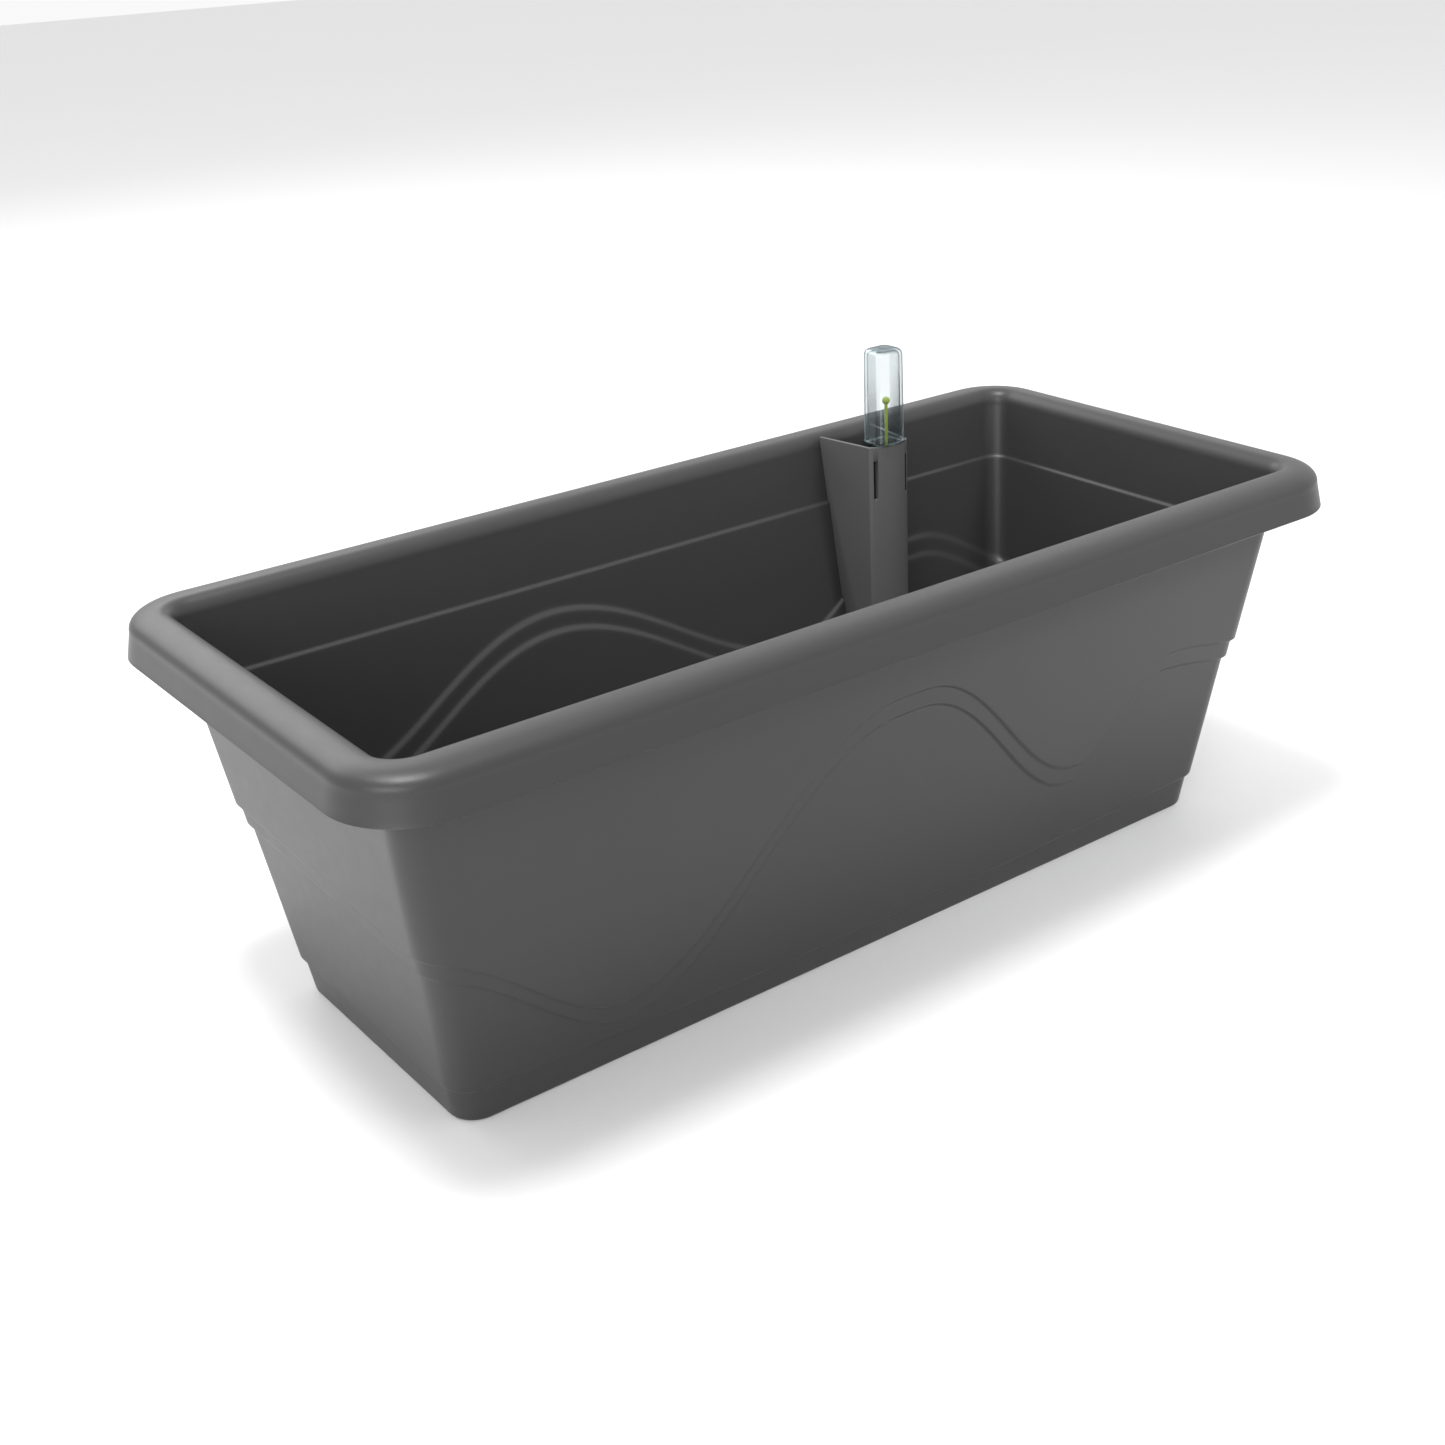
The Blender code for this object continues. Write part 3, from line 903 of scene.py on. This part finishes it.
    def inner_rings(self) -> list[Ring]:
        """Rings from the crown down the inner wall and over the ledge to the floor."""
        rise = self.height - self.rim_start
        rings = [self.rim_ring(self.crown * (1 - cosine), self.rim_start + rise * sine)
                 for sine, cosine in quarter(8)[-2::-1]]
        thick = self.wall + self.ledge_depth
        rings.append(self.wall_ring(3, self.wall, self.rim_start - self.rim_margin))
        rings.append(self.wall_ring(3, self.wall, self.ledge_z + self.ledge_margin))
        for i in range(self.step_rows + 1):
            t = i / self.step_rows
            rings.append(self.wall_ring(3, self.wall + self.ledge_depth * smooth(t),
                                        self.ledge_z + self.outer_rise * (0.5 - t)))
        rings.append(self.wall_ring(3, thick, self.ledge_z - self.ledge_margin))
        rings += self.wall_rings(thick)[::-1]
        for sine, cosine in quarter(4):
            rings.append(self.wall_ring(0, thick + self.base_round * (1 - cosine),
                                        self.wall + self.base_round * (1 - sine)))
        return rings

    def build(self) -> None:
        """Makes the box, with the plug's hole in its right end wall."""
        lip = self.lip_edge_rings() + self.crown_rings(self.crown_steps, 0.0, self.lip_fillet)
        made = piece_from_mesh("box_shell", loft(self.outer_rings() + lip + self.inner_rings()), self.finish)
        radius, reach = self.plug_hole
        profile = [(0.0, -reach), (radius, -reach), (radius, reach), (0.0, reach)]
        cut(made, turned(profile, 40, OverflowPlug.place_in(self)))
        made.data.set_sharp_from_angle(angle=math.radians(50))
        show(made, Body.BOX, Slot.ANTHRACITE, "planter_box")


# ---------------------------------------------------------------- overflow plug


@dataclass
class OverflowPlug:
    """Push-in plug in the right end wall, with a soft washer under its head."""

    box: PlanterBox
    finish: bpy.types.Material
    rubber: bpy.types.Material
    hole_z: float = 0.036
    profile: Profile = ((0.0, -0.0080), (0.0036, -0.0080), (0.0044, -0.0072), (0.0046, -0.0040),
                        (0.0042, -0.0030), (0.0042, 0.0021), (0.0081, 0.0024), (0.0084, 0.0028),
                        (0.0084, 0.0036), (0.0080, 0.0044), (0.0068, 0.0050), (0.0, 0.0052))
    coin_slot: Point = (0.0055, 0.0008, 0.0040)
    washer_middle: tuple[float, float] = (0.0063, 0.00105)
    washer_half: tuple[float, float] = (0.0014, 0.00072)
    segments: int = 60

    @staticmethod
    def place_in(box: PlanterBox) -> Matrix:
        """Frame of the plug: +Z is the outward normal of the right end wall."""
        lean = math.atan(box.draft[0])
        x = box.half_at(OverflowPlug.hole_z, 1, 0.0)[0]
        return (Matrix.Translation((x, 0.0, OverflowPlug.hole_z))
                @ Matrix.Rotation(math.pi / 2 + lean, 4, "Y"))

    def washer(self, place: Matrix, sides: int = 12) -> bmesh.types.BMesh:
        """The washer, as an oval section taken round the plug.

        Args:
            place: the plug's frame.
            sides: steps round the section.

        Returns:
            The mesh.
        """
        made = bmesh.new()
        section = []
        for i in range(sides):
            turn = 2 * math.pi * i / sides
            section.append((self.washer_middle[0] + self.washer_half[0] * math.cos(turn),
                            self.washer_middle[1] + self.washer_half[1] * math.sin(turn)))
        rows = []
        for i in range(self.segments):
            turn = 2 * math.pi * i / self.segments
            rows.append([made.verts.new((r * math.cos(turn), r * math.sin(turn), h)) for r, h in section])
        for i, row in enumerate(rows):
            after = rows[(i + 1) % self.segments]
            for j in range(sides):
                k = (j + 1) % sides
                made.faces.new((row[j], after[j], after[k], row[k]))
        made.transform(place)
        return made

    def build(self) -> None:
        """Makes the plug and its washer."""
        place = self.place_in(self.box)
        plug = piece_from_mesh("overflow_cap", turned(self.profile, self.segments, place), self.finish)
        x, y, z = self.coin_slot
        slot = block((-x, -y, z), (x, y, 1.5 * z))
        slot.transform(place)
        cut(plug, slot)
        show(plug, Body.PLUG, Slot.ANTHRACITE, "overflow_plug")
        seal = piece_from_mesh("overflow_washer", self.washer(place), self.rubber)
        show(seal, Body.PLUG, Slot.RUBBER, "plug_seal")


# ---------------------------------------------------------------- water divider and baskets


@dataclass
class WaterDivider:
    """Perforated plate on legs between the water reservoir and the soil, with three basket holes."""

    low: Vector
    high: Vector
    finish: bpy.types.Material
    thick: float = 0.0022
    corner: float = 0.007
    edge: float = 0.0004
    leg_radius: float = 0.005
    leg_taper: tuple[float, float, float] = (0.62, 0.70, 0.98)
    leg_x: tuple[float, ...] = (-0.186, -0.095, -0.005, 0.086, 0.186)
    leg_y: float = 0.052
    leg_foot: float = 0.0028
    basket_x: tuple[float, ...] = (-0.140, -0.050, 0.040)
    basket_hole: float = 0.0266
    air_radius: float = 0.0025
    air_pitch: float = 0.015
    air_reach: tuple[int, int] = (12, 4)
    basket_clear: float = 0.036
    leg_clear: float = 0.010
    well_clear: tuple[float, float] = (0.010, 0.008)
    well: tuple[tuple[float, float], tuple[float, float]] = ((0.1085, 0.0380), (0.1425, 0.1000))
    overcut: float = 0.002

    def air_spots(self) -> list[Point]:
        """Centres of the air holes, clear of the legs, the baskets and the float well."""
        (x0, y0), (x1, _) = self.well
        columns, rows = self.air_reach
        gap_x, gap_y = self.well_clear
        spots = []
        for column in range(-columns, columns + 1, 2):
            for row in range(-rows, rows + 1, 2):
                x, y = self.air_pitch * column, self.air_pitch * row
                near = any(math.hypot(x - bx, y) < self.basket_clear for bx in self.basket_x)
                near = near or any(math.hypot(x - lx, abs(y) - self.leg_y) < self.leg_clear
                                   for lx in self.leg_x)
                if not near and not (x0 - gap_x < x < x1 + gap_x and y > y0 - gap_y):
                    spots.append((x, y, self.high.z - self.thick / 2))
        return spots

    def leg(self, x: float, y: float, plate: float) -> bmesh.types.BMesh:
        """One tapered leg.

        Args:
            x: its place along the box.
            y: its place across the box.
            plate: height of the plate's underside.

        Returns:
            The mesh.
        """
        foot, soft = self.leg_foot, self.edge + 0.0002
        tip, bottom, top = (self.leg_radius * share for share in self.leg_taper)
        profile = [(0.0, foot), (tip, foot), (bottom, foot + 0.0005), (top, plate - soft),
                   (self.leg_radius, plate + soft), (0.0, plate + soft)]
        return turned(profile, 20, Matrix.Translation((x, y, 0.0)))

    def build(self) -> None:
        """Makes the divider."""
        top, bottom, edge = self.high.z, self.high.z - self.thick, self.edge
        columns = PlanColumns(2, 2, 10)
        rings = [columns.ring((0.0, 0.0), (self.high.x, self.high.y), self.corner, inset, z)
                 for inset, z in ((edge, bottom), (0.0, bottom + edge), (0.0, top - edge), (edge, top))]
        made = piece_from_mesh("divider_plate", loft(rings), self.finish)
        legs = bmesh.new()
        for x in self.leg_x:
            for side in (-1, 1):
                leg = self.leg(x, side * self.leg_y, bottom)
                shape = bpy.data.meshes.new("leg")
                leg.to_mesh(shape)
                leg.free()
                legs.from_mesh(shape)
        cut(made, legs, "UNION")
        for x in self.basket_x:
            cut(made, upright(self.basket_hole, bottom - self.overcut, top + self.overcut, (x, 0.0), 64))
        (x0, y0), (x1, y1) = self.well
        cut(made, block((x0, y0, bottom - self.overcut), (x1, y1, top + self.overcut)))
        holes = RepeatOnPoints("air_holes", 20, self.air_radius, self.thick * 3, self.finish)
        cut(made, holes.build(self.air_spots()))
        show(made, Body.DIVIDER, Slot.DIVIDER, "water_divider")


@dataclass
class WickBasket:
    """Tapered cup with side slots that hangs in the divider and draws water up."""

    index: int
    x: float
    high: Vector
    finish: bpy.types.Material
    top_radius: float = 0.0260
    foot_radius: float = 0.0190
    flange_radius: float = 0.0300
    wall: float = 0.0018
    foot_z: float = 0.0040
    edge: float = 0.0004
    slot_low: Point = (-0.040, -0.0016, 0.010)
    slot_high: Point = (0.040, 0.0016, 0.036)
    slot_pairs: int = 4

    def build(self) -> None:
        """Makes the basket."""
        w, edge, foot = self.wall, self.edge, self.foot_z
        seat = self.high.z - w
        profile = [(0.0, foot), (self.foot_radius - edge, foot), (self.foot_radius, foot + edge),
                   (self.top_radius, seat), (self.flange_radius - edge, seat),
                   (self.flange_radius, seat + edge), (self.flange_radius, seat + w - edge),
                   (self.flange_radius - edge, seat + w), (self.top_radius - w + edge, seat + w),
                   (self.top_radius - w, seat + w - edge), (self.foot_radius - w, foot + w), (0.0, foot + w)]
        place = Matrix.Translation((self.x, 0.0, 0.0))
        made = piece_from_mesh(f"basket_cup_{self.index}", turned(profile, 72, place), self.finish)
        for i in range(self.slot_pairs):
            slot = block(self.slot_low, self.slot_high)
            slot.transform(place @ Matrix.Rotation(math.pi * (i + 0.5) / self.slot_pairs, 4, "Z"))
            cut(made, slot)
        show(made, Body(f"basket_{self.index}"), Slot.DIVIDER, f"wick_basket_{self.index}")


# ---------------------------------------------------------------- filler shaft and gauge


@dataclass
class FillerShaft:
    """Upright channel that leans on the back wall, with two vent slots and a bridge for the rod."""

    low: Vector
    high: Vector
    box: PlanterBox
    finish: bpy.types.Material
    guide_finish: bpy.types.Material
    x: float = 0.1254
    y: float = 0.0626
    half: float = 0.0123
    depth: float = 0.045
    bow: float = 0.0048
    flare: float = 0.148
    wall: float = 0.0016
    foot_half: float = 0.0245
    foot_back: float = 0.0900
    foot_thick: float = 0.0018
    slot_x: float = 0.0096
    slot_width: float = 0.0018
    slot_y: tuple[float, float] = (-0.010, 0.003)
    slot_z: tuple[float, float] = (0.1475, 0.1670)
    guide_z: float = 0.1440
    guide_thick: float = 0.0022
    guide_depth: float = 0.0110
    guide_gap: float = 0.0003
    rod_hole: Point = (0.1256, 0.0640, 0.0015)
    wall_gap: float = 0.0004
    edge: float = 0.0004
    edge_angle: float = 40.0
    overcut: float = 0.002

    def plan(self, inset: float, depth: float, steps: int = 28) -> list[tuple[float, float]]:
        """Open outline of the channel in plan: back left, bowed front, back right.

        Args:
            inset: how far it is moved in.
            depth: how far back its sides reach.
            steps: steps along the bow.

        Returns:
            The outline's points.
        """
        half, bow = self.half - inset, self.bow
        radius = (half ** 2 + bow ** 2) / (2 * bow)
        sweep = math.asin(half / radius)
        front = self.y - bow + inset
        points = [(-half - self.flare * depth, self.y + depth)]
        for i in range(steps + 1):
            turn = sweep * (2 * i / steps - 1)
            points.append((radius * math.sin(turn), front + radius * (1 - math.cos(turn))))
        points.append((half + self.flare * depth, self.y + depth))
        return [(self.x + x, y) for x, y in points]

    def prism(self, points: Sequence[tuple[float, float]], low: float, high: float) -> bmesh.types.BMesh:
        """A closed body with a flat outline in plan.

        Args:
            points: the outline.
            low: height of its lower face.
            high: height of its upper face.

        Returns:
            The mesh.
        """
        return loft([[(x, y, z) for x, y in points] for z in (low, high)])

    def wall_section(self, x: float) -> Ring:
        """Outline at x of what lies beyond the back wall's inner face, less a small gap."""
        box = self.box
        thin = box.wall + self.wall_gap
        thick = thin + box.ledge_depth
        upper = box.relief.level(0.0)(x, 1.0)
        lower, over = upper - box.relief.band, 4 * self.wall_gap
        base, top, back = self.low.z - 0.008, box.height + 0.004, 0.130
        rows = [(1, thick, base), (1, thick, lower), (2, thick, lower + over), (2, thick, upper),
                (3, thick, upper + over), (3, thick, box.ledge_z - self.wall_gap),
                (3, thin, box.ledge_z + 0.0010), (3, thin, top)]
        inner = [(x, box.half_at(z, zone, inset)[1], z) for zone, inset, z in rows]
        return inner + [(x, back, top), (x, back, base)]

    def build_channel(self) -> None:
        """Makes the channel with its foot and slots."""
        foot, top, over = self.low.z, self.high.z, self.overcut
        body = self.prism(self.plan(0.0, self.depth), foot, top)
        made = piece_from_mesh("shaft_channel", body, self.finish)
        cut(made, block((self.x - self.foot_half, self.low.y, foot),
                        (self.x + self.foot_half, self.foot_back, foot + self.foot_thick)), "UNION")
        cut(made, self.prism(self.plan(self.wall, self.depth + 2 * over), foot - over, top + over))
        cut(made, loft([self.wall_section(self.x + 0.004 * step) for step in range(-8, 9)]))
        for side in (-1, 1):
            x = self.x + side * self.slot_x
            cut(made, block((x - self.slot_width / 2, self.y + self.slot_y[0], self.slot_z[0]),
                            (x + self.slot_width / 2, self.y + self.slot_y[1], self.slot_z[1])))
        bevel(made, self.edge, 3, self.edge_angle)
        apply_modifiers(made, self.edge_angle)
        show(made, Body.SHAFT, Slot.ANTHRACITE, "filler_shaft")

    def build_guide(self) -> None:
        """Makes the rod's bridge."""
        low, high = self.guide_z, self.guide_z + self.guide_thick
        outline = self.plan(self.wall + self.guide_gap, self.guide_depth)
        guide = piece_from_mesh("rod_bridge", self.prism(outline, low, high), self.guide_finish)
        x, y, radius = self.rod_hole
        cut(guide, upright(radius, low - self.overcut, low + 2 * self.overcut, (x, y), 32))
        bevel(guide, self.edge / 2, 2, self.edge_angle)
        apply_modifiers(guide, self.edge_angle)
        show(guide, Body.SHAFT, Slot.DIVIDER, "rod_guide")

    def build(self) -> None:
        """Makes the shaft and the rod's bridge."""
        self.build_channel()
        self.build_guide()


@dataclass
class GaugeTube:
    """Clear sight cap: a skirt inside the shaft, a bead on its top edge and a flat dome above."""

    low: Vector
    high: Vector
    finish: bpy.types.Material
    x: float = 0.1256
    y: float = 0.0658
    bead_z: float = 0.1741
    wall: float = 0.0012
    rounding: float = 0.20
    back_taper: float = 0.08
    bow: float = 0.0010
    skirt: tuple[float, float] = (0.0140, 0.0110)
    bead: tuple[tuple[float, float, float, float], ...] = (
        (0.0140, 0.0110, 0.0, -0.0001), (0.0141, 0.0111, 0.0, 0.0), (0.0176, 0.0150, 0.0010, 0.0),
        (0.0180, 0.0154, 0.0010, 0.0003), (0.0180, 0.0154, 0.0010, 0.0009),
        (0.0177, 0.0151, 0.0010, 0.0012), (0.0172, 0.0147, 0.0010, 0.0015))
    dome: tuple[float, float] = (0.0164, 0.0142)
    dome_pull: tuple[float, float] = (0.0052, 0.0050)
    dome_rise: float = 0.0032
    inner_pull: tuple[float, float] = (0.0046, 0.0044)
    inner_rise: float = 0.0036
    columns: PlanColumns = PlanColumns(10, 6, 9)

    def ring(self, width: float, depth: float, bow: float, z: float) -> Ring:
        """One rounded ring of the tube, a little narrower at its back.

        Args:
            width: its size along the box.
            depth: its size across the box.
            bow: how far its front bulges.
            z: its height.

        Returns:
            The ring's points.
        """
        radius = width * self.rounding
        points = []
        for fx, fy, nx, ny in self.columns.items():
            x = fx * (width / 2 - radius) + radius * nx
            y = fy * (depth / 2 - radius) + radius * ny
            narrow = 1 - self.back_taper * (y / depth + 0.5)
            bulge = bow * (1 - (2 * x / width) ** 2) * smooth(-ny)
            points.append((self.x + x * narrow, self.y + y - bulge, z))
        return points

    def outside(self) -> list[Ring]:
        """Rings up the skirt, round the bead and over the dome."""
        rings = [self.ring(*self.skirt, 0.0, self.low.z)]
        rings += [self.ring(width, depth, bow, self.bead_z + rise) for width, depth, bow, rise in self.bead]
        for sine, cosine in quarter(8):
            width, depth = (size - pull * (1 - cosine) for size, pull in zip(self.dome, self.dome_pull))
            bow = self.bow * (1 - (1 - cosine) * 0.6)
            rings.append(self.ring(width, depth, bow, self.high.z - self.dome_rise * (1 - sine)))
        return rings

    def inside(self) -> list[Ring]:
        """Rings from under the dome down to the skirt's lower edge."""
        rings = []
        for sine, cosine in reversed(quarter(8)):
            width, depth = (size - pull * (1 - cosine) - 2 * self.wall
                            for size, pull in zip(self.dome, self.inner_pull))
            z = self.high.z - self.inner_rise + (self.inner_rise - self.wall) * sine
            rings.append(self.ring(width, depth, self.bow * (1 - (1 - cosine) * 0.6), z))
        mouth = [size - 2 * self.wall for size in self.skirt]
        rings.append(self.ring(0.0170 - 2 * self.wall, 0.0144 - 2 * self.wall, 0.0008, self.bead_z + 0.0030))
        rings += [self.ring(*mouth, 0.0, self.bead_z + 0.0010), self.ring(*mouth, 0.0, self.low.z)]
        return rings

    def build(self) -> None:
        """Makes the tube as one thin closed shell."""
        outside, inside = self.outside(), self.inside()
        made = bmesh.new()
        rows = [[made.verts.new(point) for point in ring] for ring in outside + inside]
        top = len(outside) - 1
        pairs = [(i, i + 1) for i in range(len(rows) - 1) if i != top] + [(len(rows) - 1, 0)]
        count = len(rows[0])
        for first, second in pairs:
            for i in range(count):
                j = (i + 1) % count
                made.faces.new((rows[first][i], rows[first][j], rows[second][j], rows[second][i]))
        made.faces.new(rows[top])
        made.faces.new(rows[top + 1][::-1])
        tube = piece_from_mesh("sight_cap", made, self.finish, 60.0)
        show(tube, Body.GAUGE, Slot.CLEAR, "gauge_tube")


@dataclass
class FloatGauge:
    """Foam block in the reservoir, with a thin rod up the shaft and a ball that shows the level."""

    low: Vector
    high: Vector
    foam: bpy.types.Material
    indicator: bpy.types.Material
    x: float = 0.1256
    y: float = 0.0638
    rod_radius: float = 0.0008
    rod_gap: float = 0.0003
    rod_start: float = 0.001
    ball_radius: float = 0.0019
    ball_z: float = 0.1950
    ball_steps: int = 16
    block_y: float = 0.0549
    corner: float = 0.0035
    edge: float = 0.0015

    def build_block(self) -> None:
        """Makes the foam block, with the rod's hole through it."""
        half = ((self.high.x - self.low.x) / 2, (self.high.y - self.low.y) / 2)
        heights = [(1 - sine, self.low.z + self.edge * (1 - cosine)) for sine, cosine in quarter(4)]
        heights += [(1 - cosine, self.high.z - self.edge * (1 - sine)) for sine, cosine in quarter(4)]
        columns = PlanColumns(4, 4, 8)
        rings = [columns.ring((self.x, self.block_y), half, self.corner, self.edge * pull, z)
                 for pull, z in heights]
        body = piece_from_mesh("float_block", loft(rings), self.foam)
        cut(body, upright(self.rod_radius + self.rod_gap, self.low.z - 0.002, self.high.z + 0.002,
                          (self.x, self.y), 24))
        show(body, Body.FLOAT, Slot.FOAM, "float_body")

    def build_rod(self) -> None:
        """Makes the rod with its ball."""
        start = self.low.z + self.rod_start
        profile = [(0.0, start), (self.rod_radius, start)]
        sweep = math.pi - math.asin(self.rod_radius / self.ball_radius)
        for i in range(self.ball_steps):
            turn = sweep * (1 - i / self.ball_steps)
            profile.append((self.ball_radius * math.sin(turn),
                            self.ball_z + self.ball_radius * math.cos(turn)))
        profile.append((0.0, self.ball_z + self.ball_radius))
        rod = piece_from_mesh("level_rod", turned(profile, 32, Matrix.Translation((self.x, self.y, 0.0))),
                              self.indicator, 60.0)
        show(rod, Body.FLOAT, Slot.INDICATOR, "float_rod")

    def build(self) -> None:
        """Makes the float and its rod."""
        self.build_block()
        self.build_rod()


# ---------------------------------------------------------------- studio


@dataclass
class Studio:
    """Pale floor, soft light and the camera."""

    centre: Vector
    azimuth: float = 36.831
    elevation: float = 24.331
    roll: float = -2.437
    distance: float = 0.86249
    sensor: float = 36.0
    lens: float = 47.93
    shift: tuple[float, float] = (-0.03337, -0.00881)
    sky: float = 0.95
    floor_half: float = 6.0
    floor_tone: float = 0.79
    floor_cloud: float = 0.01

    def axes(self) -> tuple[Vector, Vector, Vector]:
        """The camera's forward, right and up directions."""
        a, e, r = (math.radians(angle) for angle in (self.azimuth, self.elevation, self.roll))
        forward = Vector((math.sin(a) * math.cos(e), math.cos(a) * math.cos(e), -math.sin(e)))
        right = Vector((math.cos(a), -math.sin(a), 0.0))
        up = right.cross(forward)
        return (forward, math.cos(r) * right + math.sin(r) * up, -math.sin(r) * right + math.cos(r) * up)

    def camera(self) -> None:
        """Sets the camera up."""
        forward, right, up = self.axes()
        data = bpy.data.cameras.new("studio_camera")
        data.sensor_width = self.sensor
        data.lens = self.lens
        data.shift_x, data.shift_y = self.shift
        data.clip_start = 0.01
        view = bpy.data.objects.new("studio_camera", data)
        turn = Matrix((right, up, -forward)).transposed().to_4x4()
        view.matrix_world = Matrix.Translation(self.centre - forward * self.distance) @ turn
        bpy.context.scene.collection.objects.link(view)
        bpy.context.scene.camera = view

    def lamp(self, name: str, power: float, size: tuple[float, float], place: Sequence[float],
             target: Sequence[float], spread: float = 180.0) -> None:
        """Adds one soft rectangular lamp.

        Args:
            name: its name.
            power: in watts.
            size: width and height in metres.
            place: where it hangs.
            target: what it points at.
            spread: opening angle of its beam, in degrees.
        """
        data = bpy.data.lights.new(name, "AREA")
        data.shape = "RECTANGLE"
        data.energy = power
        data.size, data.size_y = size
        data.spread = math.radians(spread)
        lamp = bpy.data.objects.new(name, data)
        aim = Vector(target) - Vector(place)
        lamp.matrix_world = Matrix.Translation(place) @ aim.to_track_quat("-Z", "Y").to_matrix().to_4x4()
        lamp.visible_glossy = spread > 90.0
        bpy.context.scene.collection.objects.link(lamp)

    def floor(self) -> None:
        """Lays the pale floor."""
        bench = ShaderBench("studio_paper")
        tone = bench.noise(3.0) * self.floor_cloud + (self.floor_tone - self.floor_cloud / 2)
        shade = bench.node("ShaderNodeCombineColor", None, {0: tone, 1: tone, 2: tone})
        paper = bench.finish(Base_Color=shade.outputs[0], Roughness=0.9)
        made = bmesh.new()
        half = self.floor_half
        corners = ((-half, -half, 0), (half, -half, 0), (half, half, 0), (-half, half, 0))
        made.faces.new([made.verts.new(corner) for corner in corners])
        piece_from_mesh("studio_floor", made, paper)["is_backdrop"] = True

    def world(self) -> None:
        """Lights everything from a plain white surround."""
        world = bpy.data.worlds.new("studio_world")
        world.use_nodes = True
        bench = NodeBench(world.node_tree)
        bench.tree.nodes.clear()
        glow = bench.node("ShaderNodeBackground", None, {"Color": (1, 1, 1, 1), "Strength": self.sky})
        bench.node("ShaderNodeOutputWorld", None, {"Surface": glow.outputs[0]})
        bpy.context.scene.world = world

    def build(self) -> None:
        """Puts up the whole studio."""
        self.floor()
        self.world()
        self.camera()
        self.lamp("back_softbox", 13.6, (1.6, 0.8), (-0.2, 1.6, 1.2), (0.0, 0.0, 0.1))
        self.lamp("overhead_softbox", 2.0, (1.4, 1.4), (0.0, 0.1, 1.9), (0.0, 0.0, 0.1))
        self.lamp("left_front_softbox", 14.2, (1.0, 0.8), (-1.5, -1.0, 0.8), (0.0, 0.0, 0.08))
        self.lamp("right_back_softbox", 1.6, (0.9, 0.9), (1.3, 1.3, 1.2), (0.0, 0.0, 0.1))
        self.lamp("rim_softbox", 27.0, (0.45, 0.45), (-0.38, -0.05, 1.9), (-0.2, -0.1, 0.15))
        self.lamp("gauge_softbox", 0.3, (0.3, 0.3), (0.55, -1.1, 1.1), (0.15, 0.06, 0.14), 24.0)
        settings = bpy.context.scene.view_settings
        settings.view_transform = "Standard"
        settings.look = "None"
        LOG.info("studio: camera at %s", tuple(round(v, 3) for v in bpy.context.scene.camera.location))


def main() -> None:
    """Builds every piece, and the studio."""
    logging.basicConfig(level=logging.INFO, format="%(message)s")
    anthracite = MouldedPlastic("anthracite_pp", tone=0.030, roughness=0.38).build()
    divider_black = MouldedPlastic("divider_pp", tone=0.018, roughness=0.45).build()
    rubber = SoftRubber().build()
    box = PlanterBox(*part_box("planter_box"), finish=anthracite)
    box.build()
    OverflowPlug(box, anthracite, rubber).build()
    divider = WaterDivider(*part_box("water_divider"), finish=divider_black)
    divider.build()
    for index, x in enumerate(divider.basket_x, 1):
        WickBasket(index, x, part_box(f"wick_basket_{index}")[1], divider_black).build()
    # painted light: the filler shaft gets a lighter copy of the anthracite plastic, whose higher tone stands
    # in for the brighter light falling on the shaft's front
    lit_shaft_plastic = MouldedPlastic("shaft_pp_painted_light", tone=0.064, roughness=0.42).build()
    FillerShaft(*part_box("filler_shaft"), box=box, finish=lit_shaft_plastic, guide_finish=divider_black).build()
    GaugeTube(*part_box("gauge_tube"), finish=ClearPlastic().build()).build()
    FloatGauge(*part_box("float_body"), foam=BeadFoam().build(), indicator=IndicatorPlastic().build()).build()
    Studio(centre=Vector((0.0, 0.0, 0.090))).build()
    new_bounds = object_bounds()
    {"cad": as_lists(CAD_BOUNDS), "visual": as_lists(new_bounds)}


def as_lists(bounds: object) -> object:
    """The bounds as plain lists."""
    if isinstance(bounds, dict):
        return {str(key): as_lists(value) for key, value in bounds.items()}
    if isinstance(bounds, (tuple, list, Vector)):
        return [as_lists(value) for value in bounds]
    return bounds


if __name__ == "__main__":
    main()
